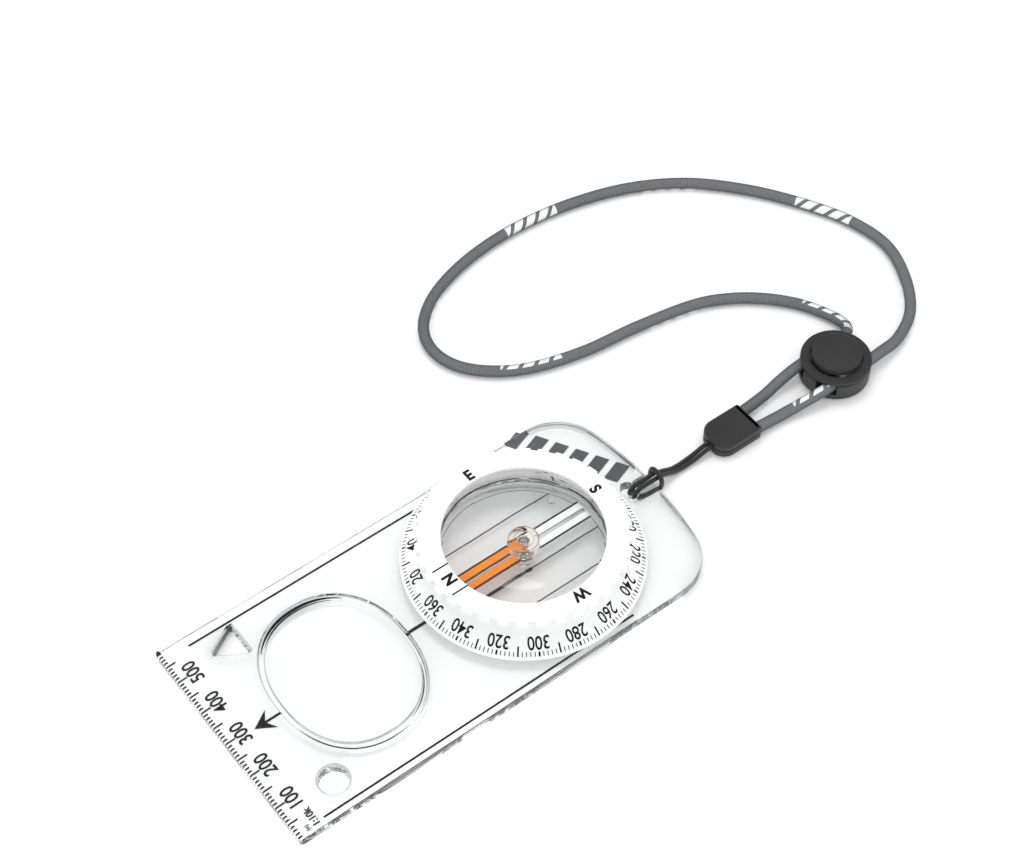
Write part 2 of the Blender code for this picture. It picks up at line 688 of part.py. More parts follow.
def build_clasp(parts, cutters, mat):
    middle = CLASP_HEIGHT / 2.0
    sockets = clasp_cutters(cutters)
    halves = (("clasp_base", 0.0, middle - GAP / 2.0),
              ("clasp_top", middle + GAP / 2.0, CLASP_HEIGHT))
    for name, low, high in halves:
        half = flat_solid(name, [clasp_outline()], low, high)
        place(half, parts, mat, at=(CLASP_CENTRE_X, 0.0, 0.0))
        for socket in sockets:
            boolean(half, socket)


def build_leash(parts, mat):
    left = [(leash_centre(y) - x, y, z) for x, y, z in LEASH_LEG]
    right = [(leash_centre(y) + x, y, z) for x, y, z in LEASH_LEG]
    route = left + [LEASH_CREST] + right[::-1]
    return place(tube("leash_cord", smooth_route(route, LEASH_POINTS), LEASH_R), parts, mat)


def leash_centre(y):
    """The leash's middle line, in mm, drifts a little between its knot and the clasp."""
    start, end = -62.0, -79.0
    share = min(1.0, max(0.0, (y - start) / (end - start)))
    return (KNOT_X + (CLASP_CENTRE_X - KNOT_X) * share) / MM


def build_lanyard(parts, mat):
    points = smooth_route(LANYARD_ROUTE, LANYARD_POINTS)
    return place(tube("lanyard_cord", points, LANYARD_R), parts, mat)


# ---------------------------------------------------------------- cord lock

def gate_cutters(group):
    """The two gates through the lock's wall, one for each lanyard strand."""
    gates = []
    for side, sign in (("left", -1.0), ("right", 1.0)):
        xs = sorted((sign * GATE_INNER_X, sign * GATE_OUTER_X))
        gate = box_solid("lock_gate_" + side, (xs[0], -12 * MM, GATE_FLOOR_Z),
                         (xs[1], 12 * MM, 8 * MM))
        gates.append(as_cutter(gate, group, at=(*LOCK_CENTRE, 0.0)))
    return gates


def build_lock_body(parts, cutters, mat, axis):
    profile = [
        (0.0, LOCK_FLOOR_Z),
        (LOCK_BORE_R, LOCK_FLOOR_Z),
        (LOCK_BORE_R, LOCK_WALL_Z),
        (LOCK_R, LOCK_WALL_Z),
        (LOCK_R, 0.9 * MM),
        (LOCK_R - 0.35 * MM, 0.25 * MM),
        (LOCK_R - 0.9 * MM, 0.0),
        (0.0, 0.0),
    ]
    body = place(turned("lock_body", profile, 40), parts, mat, (*LOCK_CENTRE, 0.0), axis)
    for gate in gate_cutters(cutters):
        boolean(body, gate)
    return body


def build_lock_collar(parts, mat, axis):
    profile = [
        (COLLAR_BORE_R, COLLAR_TOP_Z),
        (LOCK_R - 0.7 * MM, COLLAR_TOP_Z),
        (LOCK_R - 0.2 * MM, COLLAR_TOP_Z - 0.2 * MM),
        (LOCK_R, COLLAR_TOP_Z - 0.6 * MM),
        (LOCK_R, LOCK_WALL_Z + GAP),
        (COLLAR_BORE_R, LOCK_WALL_Z + GAP),
    ]
    collar = turned("lock_collar", profile, 40, closed=True)
    return place(collar, parts, mat, (*LOCK_CENTRE, 0.0), axis)


def build_lock_button(parts, cutters, mat, axis):
    """Plunger: a round cap, a post between the strands and a foot that lifts under them."""
    cap = [
        (0.0, BUTTON_TOP_Z),
        (BUTTON_R - 0.6 * MM, BUTTON_TOP_Z),
        (BUTTON_R - 0.15 * MM, BUTTON_TOP_Z - 0.15 * MM),
        (BUTTON_R, BUTTON_TOP_Z - 0.6 * MM),
        (BUTTON_R, BUTTON_CAP_Z),
        (0.0, BUTTON_CAP_Z),
    ]
    button = place(turned("lock_button", cap, 36), parts, mat, (*LOCK_CENTRE, 0.0), axis)
    low = (-POST_HALF_X, -POST_HALF_Y, BUTTON_FOOT_TOP_Z - 0.2 * MM)
    high = (POST_HALF_X, POST_HALF_Y, BUTTON_CAP_Z + 0.3 * MM)
    post = as_cutter(box_solid("button_post", low, high), cutters, at=(*LOCK_CENTRE, 0.0))
    foot = rod_solid("button_foot", BUTTON_FOOT_R, BUTTON_FOOT_Z, BUTTON_FOOT_TOP_Z, 32)
    bore = rod_solid("spring_bore", SPRING_BORE_R, 0.0, SPRING_BORE_TOP_Z, 20)
    boolean(button, post, 'UNION')
    boolean(button, as_cutter(foot, cutters, at=(*LOCK_CENTRE, 0.0)), 'UNION')
    boolean(button, as_cutter(bore, cutters, at=(*LOCK_CENTRE, 0.0)))
    return button


def build_lock_spring(parts, mat, axis):
    steps = SPRING_TURNS * 9
    points = []
    for i in range(steps + 1):
        angle = math.tau * SPRING_TURNS * i / steps
        height = SPRING_FOOT_Z + (SPRING_HEAD_Z - SPRING_FOOT_Z) * i / steps
        points.append((SPRING_R * math.cos(angle), SPRING_R * math.sin(angle), height))
    spring = tube("lock_spring", points, SPRING_WIRE_R)
    return place(spring, parts, mat, (*LOCK_CENTRE, 0.0), axis)


def main():
    clear_scene()
    parts = new_collection("baseplate_compass")
    cutters = new_collection("cutters")
    clear = new_material("clear_acrylic", (0.93, 0.94, 0.94), 0.05, transmission=0.9)
    white = new_material("white_plastic", (0.93, 0.93, 0.92), 0.35)
    orange = new_material("orange_paint", (0.95, 0.32, 0.02), 0.4)
    white_paint = new_material("white_paint", (0.92, 0.92, 0.9), 0.4)
    steel = new_material("steel", (0.6, 0.6, 0.62), 0.25, metallic=1.0)
    jewel = new_material("sapphire", (0.7, 0.75, 0.85), 0.05, transmission=0.6)
    magnet = new_material("magnet", (0.12, 0.12, 0.13), 0.4, metallic=0.6)
    leash_mat = new_material("leash_black", (0.02, 0.02, 0.02), 0.6)
    cord_mat = new_material("cord_grey", (0.28, 0.29, 0.3), 0.85)
    black = new_material("black_plastic", (0.015, 0.015, 0.016), 0.45)

    housing = new_empty("housing_axis", parts, (0.0, DIAL_Y, 0.0))
    needle = new_empty("needle_axis", parts, (0.0, DIAL_Y, NEEDLE_Z), housing)
    lock = new_empty("lock_axis", parts, (*LOCK_CENTRE, 0.0))

    build_baseplate(parts, cutters, clear)
    build_dial_ring(parts, cutters, white, housing)
    build_capsule_base(parts, cutters, clear, housing)
    build_fill_plug(parts, white, housing)
    build_capsule_lid(parts, clear, housing)
    build_retaining_ring(parts, white, housing)
    build_pivot_pin(parts, steel, housing)
    build_needle_hub(parts, clear, needle)
    build_jewel_bearing(parts, jewel, needle)
    build_needle_half("needle_north", 1.0, parts, orange, needle)
    build_needle_half("needle_south", -1.0, parts, white_paint, needle)
    build_needle_magnet(parts, magnet, needle)
    build_leash(parts, leash_mat)
    build_clasp(parts, cutters, black)
    build_lanyard(parts, cord_mat)
    build_lock_body(parts, cutters, black, lock)
    build_lock_collar(parts, black, lock)
    build_lock_button(parts, cutters, black, lock)
    build_lock_spring(parts, steel, lock)


main()
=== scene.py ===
import json
import math

import bmesh
import bpy
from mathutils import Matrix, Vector


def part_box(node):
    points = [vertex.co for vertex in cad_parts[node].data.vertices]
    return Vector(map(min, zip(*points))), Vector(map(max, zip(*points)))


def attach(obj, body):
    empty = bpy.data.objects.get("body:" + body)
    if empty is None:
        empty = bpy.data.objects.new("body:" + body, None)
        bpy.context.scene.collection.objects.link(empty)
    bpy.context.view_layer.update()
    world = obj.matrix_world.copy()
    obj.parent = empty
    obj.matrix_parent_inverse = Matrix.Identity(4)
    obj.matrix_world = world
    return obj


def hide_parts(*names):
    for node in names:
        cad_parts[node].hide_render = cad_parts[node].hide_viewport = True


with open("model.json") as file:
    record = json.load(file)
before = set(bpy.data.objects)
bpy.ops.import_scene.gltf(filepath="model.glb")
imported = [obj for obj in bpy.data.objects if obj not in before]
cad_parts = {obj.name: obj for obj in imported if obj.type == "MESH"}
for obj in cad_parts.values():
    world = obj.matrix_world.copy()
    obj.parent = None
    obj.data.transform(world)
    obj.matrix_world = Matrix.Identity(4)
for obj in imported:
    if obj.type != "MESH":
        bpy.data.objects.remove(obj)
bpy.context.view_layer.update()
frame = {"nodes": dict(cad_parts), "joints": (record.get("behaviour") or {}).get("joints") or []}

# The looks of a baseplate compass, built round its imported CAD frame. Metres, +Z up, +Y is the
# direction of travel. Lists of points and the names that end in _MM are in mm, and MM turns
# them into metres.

MM = 0.001
NODES = frame["nodes"]
AXIS = Vector(next(j["pos_m"] for j in frame["joints"] if j["name"] == "housing_turn"))
AXIS_MM = (AXIS.x / MM, AXIS.y / MM)
INK_MM = 0.03                       # thickness of a printed mark
SHARP_DEGREES = 32.0                # edges sharper than this stay crisp


def low_mm(node):
    return [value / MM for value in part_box(node)[0]]


def high_mm(node):
    return [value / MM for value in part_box(node)[1]]


def middle_mm(node):
    return [(low + high) / 2.0 for low, high in zip(low_mm(node), high_mm(node))]


# Camera
CAMERA_PLACE = (-0.23336, 0.15835, 0.42460)
CAMERA_AZIMUTH = 232.78
CAMERA_ELEVATION = 51.61
CAMERA_LENS = 76.82

# Baseplate
PLATE_HALF_MM = 30.0
PLATE_FRONT_MM = 60.7
PLATE_THICK_MM = 3.0
REAR_CORNER_MM = 13.0
REAR_Y_MM = -44.0                   # the rear corners and edge lie behind this
REAR_BOW_MM = 100.0
FRONT_BEVEL_MM = 7.3
FRONT_EDGE_MM = 2.3
HOUSING_HOLE_MM = 23.4
COUNTERBORE_MM = (25.2, 1.3)        # radius and depth
LENS_Y_MM = 29.1
LENS_HALF_MM = (19.35, 16.05)
GROOVE_HALF_MM = (21.4, 17.6)
GROOVE_FLOOR_MM = 2.2
CUTOUTS_MM = (27.0, 10.0, 50.5)     # half width and Y limits of the area with lens and stencils
LENS_TOP_MM = high_mm("baseplate")[2]
SQUIRCLE_POWER = 2.2
ROUND_STENCIL_MM = (-22.0, 46.7, 3.5)
TRIANGLE_MM = (21.2, 45.6, 9.5)
CORD_HOLE_MM = (0.0, -54.5, 5.2, 3.8)
CHANNEL_MM = (6.0, 1.55)            # width and depth

# Dial ring: the graduated cone runs from the foot of the grip down to the rim
CONE_TOP_MM = (24.3, 7.2)
CONE_RIM_MM = (28.9, 3.95)
CONE_DROP = (CONE_TOP_MM[1] - CONE_RIM_MM[1]) / (CONE_RIM_MM[0] - CONE_TOP_MM[0])
CONE_COSINE = 1.0 / math.sqrt(1.0 + CONE_DROP * CONE_DROP)
TICK_RADIUS_MM = 28.65              # outer ends of the graduation
NUMBER_RADIUS_MM = 26.15
LETTER_RADIUS_MM = 21.3
RING_TOP_MM = high_mm("dial_ring")[2]
WINDOW_MM = 19.3
GRIP_MM = 25.4
GRIP_UNDER_MM = 10.5
NOTCH_MM = 24.5                     # radius of the notches' floors
NOTCH_PHASE = 0.675
NOTCHES = 36

# Capsule and needle hub
CAPSULE_FLOOR_MM = 1.6
HUB_TOP_MM = 9.6

# Clear surfaces that the capsule's liquid touches bend light by their ratio to the liquid
WET_IOR = 1.12

# Cords
LEASH_D_MM = 1.2
LANYARD_D_MM = 3.0
RIB_MM = 0.5                        # one transverse rib of the woven sleeve
RIB_RINGS = 4
MARK_PERIOD_MM = 83.75              # white marks printed along the lanyard
MARK_START_MM = 49.0
MARK_LENGTH_MM = 16.0
CLASP_X_MM = middle_mm("clasp_base")[0]
KNOT_X_MM = -0.9                    # where the leash lies in the plate's cord hole
KNOT_Y_MM = -62.0
CLASP_MOUTH_Y_MM = -79.0

# Half of the leash's lark's head, from the clasp to the crest that crosses both legs
LEASH_LEG = (
    (0.70, -81.0, 2.15), (0.70, -78.0, 2.05), (0.68, -73.6, 1.15), (0.60, -68.4, 1.10),
    (0.65, -64.6, 2.75), (0.74, -62.2, 3.72), (0.75, -59.8, 3.85), (0.75, -57.4, 3.85),
    (0.77, -56.2, 3.78), (0.80, -55.2, 3.25), (0.88, -54.6, 2.30), (1.00, -54.7, 1.35),
    (1.30, -55.7, 0.84), (1.70, -57.3, 0.77), (1.95, -59.4, 0.77), (2.08, -61.2, 0.95),
    (2.15, -61.9, 1.90), (2.12, -62.0, 3.40), (1.50, -62.0, 4.80),
)
LEASH_CREST = (KNOT_X_MM, KNOT_Y_MM, 5.2)

# The lanyard's route: clasp, lock, one open loop, lock, clasp
LANYARD_ROUTE = (
    (2.15, -90.0, 2.15), (3.20, -100.0, 1.75), (3.85, -106.0, 2.70), (4.05, -112.0, 3.80),
    (4.25, -121.2, 3.85), (4.55, -126.7, 3.65), (5.85, -130.6, 2.85), (8.90, -132.3, 1.95),
    (13.8, -131.4, 1.55), (20.6, -128.1, 1.50), (27.2, -122.6, 1.50), (33.0, -115.2, 1.50),
    (37.2, -105.8, 1.50), (40.2, -89.5, 1.50), (41.9, -74.0, 1.50), (45.6, -60.2, 1.50),
    (50.8, -51.2, 1.50), (57.6, -45.2, 1.50), (65.2, -43.3, 1.50), (72.6, -45.6, 1.50),
    (78.8, -52.0, 1.50), (83.2, -61.4, 1.50), (86.0, -73.6, 1.50), (86.7, -87.6, 1.50),
    (84.8, -103.6, 1.50), (80.0, -119.4, 1.50), (71.8, -133.2, 1.50), (60.4, -144.2, 1.50),
    (47.4, -152.8, 1.50), (34.6, -158.7, 1.50), (22.4, -160.3, 1.50), (11.0, -156.2, 1.50),
    (1.80, -149.2, 1.55), (-3.20, -140.2, 1.95), (-4.70, -132.3, 3.15), (-5.50, -124.2, 3.85),
    (-5.70, -112.0, 3.80), (-4.90, -106.0, 2.70), (-4.05, -100.0, 1.75), (-3.55, -90.0, 2.15),
)


# ---------------- mesh helpers

def link(obj):
    bpy.context.scene.collection.objects.link(obj)
    return obj


def mesh_object(name, bm, mat=None, sharp=SHARP_DEGREES):
    bmesh.ops.recalc_face_normals(bm, faces=bm.faces)
    mesh = bpy.data.meshes.new(name)
    bm.to_mesh(mesh)
    bm.free()
    mesh.shade_smooth()
    mesh.set_sharp_from_angle(angle=math.radians(sharp))
    if mat is not None:
        mesh.materials.append(mat)
    return link(bpy.data.objects.new(name, mesh))


def loft(name, rings, mat=None, closed=False):
    """A skin over rings of points, capped at its ends unless it closes on itself."""
    bm = bmesh.new()
    rows = [[bm.verts.new(point) for point in ring] for ring in rings]
    pairs = list(zip(rows, rows[1:]))
    if closed:
        pairs.append((rows[-1], rows[0]))
    for first, second in pairs:
        for i in range(len(first)):
            j = (i + 1) % len(first)
            bm.faces.new((first[i], first[j], second[j], second[i]))
    if not closed:
        bm.faces.new(rows[0])
        bm.faces.new(rows[-1])
    return mesh_object(name, bm, mat)


def rounded(corners, closed=False, steps=4):
    """Corners (a, b, radius) as a line of points, each corner with a radius made an arc."""
    points = []
    count = len(corners)
    for i, (a, b, radius) in enumerate(corners):
        if radius == 0 or (not closed and i in (0, count - 1)):
            points.append((a, b))
            continue
        here = Vector((a, b))
        back = Vector(corners[i - 1][:2]) - here
        ahead = Vector(corners[(i + 1) % count][:2]) - here
        half = back.angle(ahead) / 2.0
        reach = min(radius / math.tan(half), 0.49 * min(back.length, ahead.length))
        bulge = reach * math.tan(half)
        middle = (back.normalized() + ahead.normalized()).normalized()
        centre = here + middle * (bulge / math.sin(half))
        start = here + back.normalized() * reach - centre
        end = here + ahead.normalized() * reach - centre
        sweep = start.angle(end)
        for k in range(steps + 1):
            t = k / steps
            arm = start * math.sin((1 - t) * sweep) + end * math.sin(t * sweep)
            points.append(tuple(centre + arm / math.sin(sweep)))
    return points


def lathe(name, corners, steps, at, mat=None, closed=False):
    """Corners (radius, height, fillet) in mm turned round a vertical axis."""
    rings = []
    for radius, height in rounded(corners, closed):
        radius = max(radius, 0.02)
        ring = []
        for i in range(steps):
            angle = math.tau * i / steps
            ring.append((at[0] + radius * MM * math.cos(angle),
                         at[1] + radius * MM * math.sin(angle), height * MM))
        rings.append(ring)
    return loft(name, rings, mat, closed)


def squircle(half_x, half_y, height, steps=144):
    ring = []
    for i in range(steps):
        angle = math.tau * i / steps
        cosine, sine = math.cos(angle), math.sin(angle)
        total = abs(cosine) ** SQUIRCLE_POWER + abs(sine) ** SQUIRCLE_POWER
        reach = total ** (-1.0 / SQUIRCLE_POWER) * MM
        ring.append((half_x * reach * cosine, LENS_Y_MM * MM + half_y * reach * sine,
                     height * MM))
    return ring


def prism(name, outline, levels, mat=None):
    """An outline in mm stacked at levels (height, inset towards its own middle)."""
    points = [Vector(point) for point in outline]
    middle = sum(points, Vector((0.0, 0.0))) / len(points)
    rings = []
    for height, inset in levels:
        ring = []
        for i, point in enumerate(points):
            ahead = points[(i + 1) % len(points)] - points[i - 1]
            inward = Vector((-ahead.y, ahead.x)).normalized()
            if inward.dot(middle - point) < 0:
                inward = -inward
            moved = (point + inward * inset) * MM
            ring.append((moved.x, moved.y, height * MM))
        rings.append(ring)
    return loft(name, rings, mat)


def bake(obj):
    """Replaces an object's mesh with what its modifiers make of it."""
    graph = bpy.context.evaluated_depsgraph_get()
    mesh = bpy.data.meshes.new_from_object(obj.evaluated_get(graph))
    obj.modifiers.clear()
    obj.data = mesh


def carve(obj, cutters, joiners=()):
    """Cuts the cutters out of a piece and then joins the joiners to it."""
    for operation, tools in (('DIFFERENCE', cutters), ('UNION', joiners)):
        for tool in tools:
            step = obj.modifiers.new(tool.name, 'BOOLEAN')
            step.operation = operation
            step.object = tool
    bake(obj)
    for tool in (*cutters, *joiners):
        bpy.data.objects.remove(tool, do_unlink=True)
    obj.data.shade_smooth()
    obj.data.set_sharp_from_angle(angle=math.radians(SHARP_DEGREES))
    return obj


def even_normals(obj):
    """Keeps flat faces flat where they meet small fillets."""
    step = obj.modifiers.new("normals", 'WEIGHTED_NORMAL')
    step.keep_sharp = True
    bake(obj)
    return obj


def wear(obj, body, slot, *replaced):
    """Declares which body a piece rides on and hides the CAD nodes it stands for. slot, its finish, is
    not used.
    """
    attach(obj, body)
    if replaced:
        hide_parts(*replaced)
    return obj


# ---------------- curves and tubes

def smooth_route(route, spacing):
    """Points about `spacing` mm apart on a Catmull-Rom curve through a route."""
    knots = [Vector(point) for point in route]
    knots = [2 * knots[0] - knots[1]] + knots + [2 * knots[-1] - knots[-2]]
    dense = []
    for a, b, c, d in zip(knots, knots[1:], knots[2:], knots[3:]):
        for i in range(40):
            t = i / 40.0
            dense.append(0.5 * ((2 * b) + (c - a) * t + (2 * a - 5 * b + 4 * c - d) * t * t
                                + (3 * b - a - 3 * c + d) * t ** 3))
    dense.append(knots[-2])
    lengths = [0.0]
    for p, q in zip(dense, dense[1:]):
        lengths.append(lengths[-1] + (q - p).length)
    count = int(lengths[-1] / spacing)
    points = []
    k = 0
    for i in range(count + 1):
        target = lengths[-1] * i / count
        while k < len(dense) - 2 and lengths[k + 1] < target:
            k += 1
        share = (target - lengths[k]) / (lengths[k + 1] - lengths[k])
        points.append(dense[k].lerp(dense[k + 1], share))
    return points, lengths[-1]


def tube(name, points, radius_at, sides, mat):
    """A round tube with a UV map: U is the distance along it in mm, V the turn round it."""
    bm = bmesh.new()
    uv = bm.loops.layers.uv.new("cord")
    rows, marks = [], []
    side = Vector((0.0, 0.0, 1.0))
    travelled = 0.0
    for i, point in enumerate(points):
        ahead = points[min(i + 1, len(points) - 1)] - points[max(i - 1, 0)]
        ahead.normalize()
        side = (side - ahead * side.dot(ahead)).normalized()
        other = ahead.cross(side)
        if i:
            travelled += (point - points[i - 1]).length
        radius = radius_at(travelled)
        row = []
        for k in range(sides):
            angle = math.tau * k / sides
            arm = side * math.cos(angle) + other * math.sin(angle)
            row.append(bm.verts.new((point + arm * radius) * MM))
        rows.append(row)
        marks.append(travelled)
    for i in range(len(rows) - 1):
        for k in range(sides):
            j = (k + 1) % sides
            face = bm.faces.new((rows[i][k], rows[i][j], rows[i + 1][j], rows[i + 1][k]))
            corners = ((marks[i], k), (marks[i], k + 1), (marks[i + 1], k + 1), (marks[i + 1], k))
            for loop, (along, turn) in zip(face.loops, corners):
                loop[uv].uv = (along, turn / sides)
    bm.faces.new(rows[0])
    bm.faces.new(rows[-1])
    return mesh_object(name, bm, mat, 60.0)


# ---------------- material helpers

def add(tree, kind, inputs=None, **settings):
    """A shader node; inputs are sockets to link or values to set, by name or number."""
    node = tree.nodes.new("ShaderNode" + kind)
    for key, value in settings.items():
        setattr(node, key, value)
    for key, value in (inputs or {}).items():
        if isinstance(value, bpy.types.NodeSocket):
            tree.links.new(value, node.inputs[key])
        else:
            node.inputs[key].default_value = value
    return node


def maths(tree, operation, first, second=0.0):
    return add(tree, "Math", {0: first, 1: second}, operation=operation).outputs[0]


def noise(tree, vector, scale, detail=3.0, roughness=0.5):
    node = add(tree, "TexNoise", {"Vector": vector, "Scale": scale, "Detail": detail,
                                  "Roughness": roughness})
    return node.outputs["Fac"]


def ramp(tree, factor, *stops):
    """A colour ramp through (position, colour) stops."""
    node = add(tree, "ValToRGB", {0: factor})
    elements = node.color_ramp.elements
    while len(elements) < len(stops):
        elements.new(0.5)
    for element, (position, color) in zip(elements, stops):
        element.position = position
        element.color = (*color, 1.0)
    return node.outputs[0]


def between(tree, factor, low, high):
    """Maps a 0 to 1 factor to the range low to high."""
    return add(tree, "MapRange", {"Value": factor, "To Min": low, "To Max": high}).outputs[0]


def mix(tree, factor, first, second):
    node = add(tree, "Mix", {0: factor}, data_type='RGBA')
    for socket, value in ((node.inputs[6], first), (node.inputs[7], second)):
        if isinstance(value, bpy.types.NodeSocket):
            tree.links.new(value, socket)
        else:
            socket.default_value = (*value, 1.0)
    return node.outputs[2]


def bump(tree, height, distance, strength=1.0):
    node = add(tree, "Bump", {"Height": height, "Distance": distance, "Strength": strength})
    return node.outputs[0]


def tinted(color, factor):
    return tuple(min(1.0, channel * factor) for channel in color)


def new_material(name, **constants):
    mat = bpy.data.materials.new(name)
    mat.use_nodes = True
    shader = mat.node_tree.nodes["Principled BSDF"]
    for key, value in constants.items():
        shader.inputs[key.replace("_", " ")].default_value = value
    return mat, mat.node_tree, shader


def moulded(name, color, roughness, spread=0.06, grain=900.0, depth=0.02, **constants):
    """Plastic or paint: faint colour drift, uneven gloss and a fine grain."""
    mat, tree, shader = new_material(name, **constants)
    place = add(tree, "TexCoord").outputs["Object"]
    drift = noise(tree, place, 60.0, 4.0)
    fine = noise(tree, place, grain, 3.0, 0.6)
    tone = ramp(tree, drift, (0.3, tinted(color, 1.0 - spread)), (0.7, tinted(color, 1.0 + spread)))
    tree.links.new(tone, shader.inputs["Base Color"])
    gloss = noise(tree, place, 240.0, 5.0, 0.65)
    tree.links.new(between(tree, gloss, roughness * 0.8, roughness * 1.2), shader.inputs["Roughness"])
    tree.links.new(bump(tree, fine, depth * MM), shader.inputs["Normal"])
    return mat


def clear_plastic(name, color, scratches=0.0015, ior=1.49, mirror=1.0):
    """Clear moulding with a few hairline scratches. Light for matt surfaces shines through it.
    mirror dims what it reflects, inside and out."""
    mat, tree, shader = new_material(name, Transmission_Weight=1.0, IOR=ior,
                                     Specular_Tint=(mirror, mirror, mirror, 1.0))
    place = add(tree, "TexCoord").outputs["Object"]
    drift = noise(tree, place, 35.0, 3.0)
    tone = ramp(tree, drift, (0.25, tinted(color, 0.985)), (0.75, color))
    tree.links.new(tone, shader.inputs["Base Color"])
    hair = add(tree, "Mapping", {"Vector": place, "Rotation": (0.0, 0.0, 0.6),
                                 "Scale": (60.0, 2600.0, 2600.0)}).outputs[0]
    lines = ramp(tree, noise(tree, hair, 1.0, 2.0), (0.70, (0.0,) * 3), (0.74, (1.0,) * 3))
    tree.links.new(between(tree, noise(tree, place, 120.0), 0.0, 0.03), shader.inputs["Roughness"])
    tree.links.new(bump(tree, lines, scratches * MM, 0.6), shader.inputs["Normal"])
    through = add(tree, "BsdfTransparent", {"Color": (*color, 1.0)})
    ray = add(tree, "LightPath").outputs
    scattered = maths(tree, 'GREATER_THAN', ray["Diffuse Depth"], 0.5)
    straight = maths(tree, 'MAXIMUM', ray["Is Shadow Ray"], scattered)
    blend = add(tree, "MixShader", {0: straight, 1: shader.outputs[0], 2: through.outputs[0]})
    tree.links.new(blend.outputs[0], tree.nodes["Material Output"].inputs["Surface"])
    return mat


def edge_haze():
    """Painted shade: grey streaks along a clear edge, with clear gaps between them."""
    mat, tree, shader = new_material("edge_haze", Roughness=0.6)
    place = add(tree, "TexCoord").outputs["Object"]
    stretched = add(tree, "Mapping", {"Vector": place, "Scale": (60.0, 60.0, 700.0)}).outputs[0]
    gaps = ramp(tree, noise(tree, stretched, 1.0, 3.0), (0.4, (1.0,) * 3), (0.62, (0.35,) * 3))
    tone = ramp(tree, noise(tree, place, 180.0), (0.3, (0.12,) * 3), (0.7, (0.3,) * 3))
    tree.links.new(tone, shader.inputs["Base Color"])
    clear = add(tree, "BsdfTransparent")
    blend = add(tree, "MixShader", {0: gaps, 1: shader.outputs[0], 2: clear.outputs[0]})
    tree.links.new(blend.outputs[0], tree.nodes["Material Output"].inputs["Surface"])
    return mat


def woven_cord():
    """Grey sleeve of transverse ribs crossed by fine threads, with white printed bars and painted
    shade towards its outline and in the weave's valleys.
    """
    mat, tree, shader = new_material("woven_cord", Sheen_Weight=0.1, Sheen_Roughness=0.5)
    uv = add(tree, "UVMap", uv_map="cord").outputs[0]
    parts = add(tree, "SeparateXYZ", {0: uv})
    along, turn = parts.outputs[0], parts.outputs[1]
    place = add(tree, "TexCoord").outputs["Object"]
    rib = maths(tree, 'SINE', maths(tree, 'MULTIPLY', along, math.tau / RIB_MM))
    thread = maths(tree, 'SINE', maths(tree, 'ADD', maths(tree, 'MULTIPLY', turn, 26 * math.tau),
                                       maths(tree, 'MULTIPLY', along, math.pi / RIB_MM)))
    weave = maths(tree, 'ADD', maths(tree, 'MULTIPLY', rib, 0.5),
                  maths(tree, 'MULTIPLY', thread, 0.3))
    height = between(tree, maths(tree, 'ADD', weave, 0.8), 0.0, 0.6)
    fuzz = noise(tree, place, 2600.0, 2.0)
    yarn = maths(tree, 'ADD', maths(tree, 'MULTIPLY', height, 0.7), maths(tree, 'MULTIPLY', fuzz, 0.4))
    # Partly painted shade: these colours are darker in the weave's valleys and lighter on the ribs'
    # crests; the fuzz adds random tone
    grey = ramp(tree, yarn, (0.2, (0.045, 0.048, 0.051)), (0.7, (0.21, 0.22, 0.23)))
    white = ramp(tree, yarn, (0.1, (0.6, 0.61, 0.62)), (0.5, (0.92, 0.92, 0.92)))
    tone = mix(tree, printed_bars(tree, along, turn), grey, white)
    # Painted shade: the colour darkens towards the cord's outline as seen, where its sides turn away
    # from the light
    rim = add(tree, "LayerWeight", {"Blend": 0.5}).outputs["Facing"]
    shade = ramp(tree, rim, (0.12, (1.0,) * 3), (0.75, (0.28,) * 3))
    tone = add(tree, "Mix", {0: 1.0, 6: tone, 7: shade}, data_type='RGBA',
               blend_type='MULTIPLY').outputs[2]
    tree.links.new(tone, shader.inputs["Base Color"])
    tree.links.new(between(tree, fuzz, 0.62, 0.85), shader.inputs["Roughness"])
    tree.links.new(bump(tree, yarn, 0.05 * MM), shader.inputs["Normal"])
    return mat


def printed_bars(tree, along, turn):
    """1 on a group of slanted bars, which repeats along the cord on alternate sides."""
    masks = []
    for shift, side in ((0.0, 0.04), (MARK_PERIOD_MM / 2.0, 0.44)):
        start = maths(tree, 'SUBTRACT', along, MARK_START_MM + shift - MARK_PERIOD_MM / 2.0)
        local = maths(tree, 'MODULO', maths(tree, 'ADD', start, 10 * MARK_PERIOD_MM), MARK_PERIOD_MM)
        local = maths(tree, 'SUBTRACT', local, MARK_PERIOD_MM / 2.0)
        group = maths(tree, 'COMPARE', local, 0.0)
        group.node.inputs[2].default_value = MARK_LENGTH_MM / 2.0
        across = maths(tree, 'WRAP', maths(tree, 'SUBTRACT', turn, side), 0.5)
        across.node.inputs[2].default_value = -0.5
        face = maths(tree, 'COMPARE', across, 0.0)
        face.node.inputs[2].default_value = 0.17
        slant = maths(tree, 'ADD', local, maths(tree, 'MULTIPLY', across, 7.0))
        stripe = maths(tree, 'PINGPONG', slant, 2.0)
        bars = maths(tree, 'LESS_THAN', stripe, 1.35)
        masks.append(maths(tree, 'MULTIPLY', maths(tree, 'MULTIPLY', group, face), bars))
    return maths(tree, 'MAXIMUM', *masks)


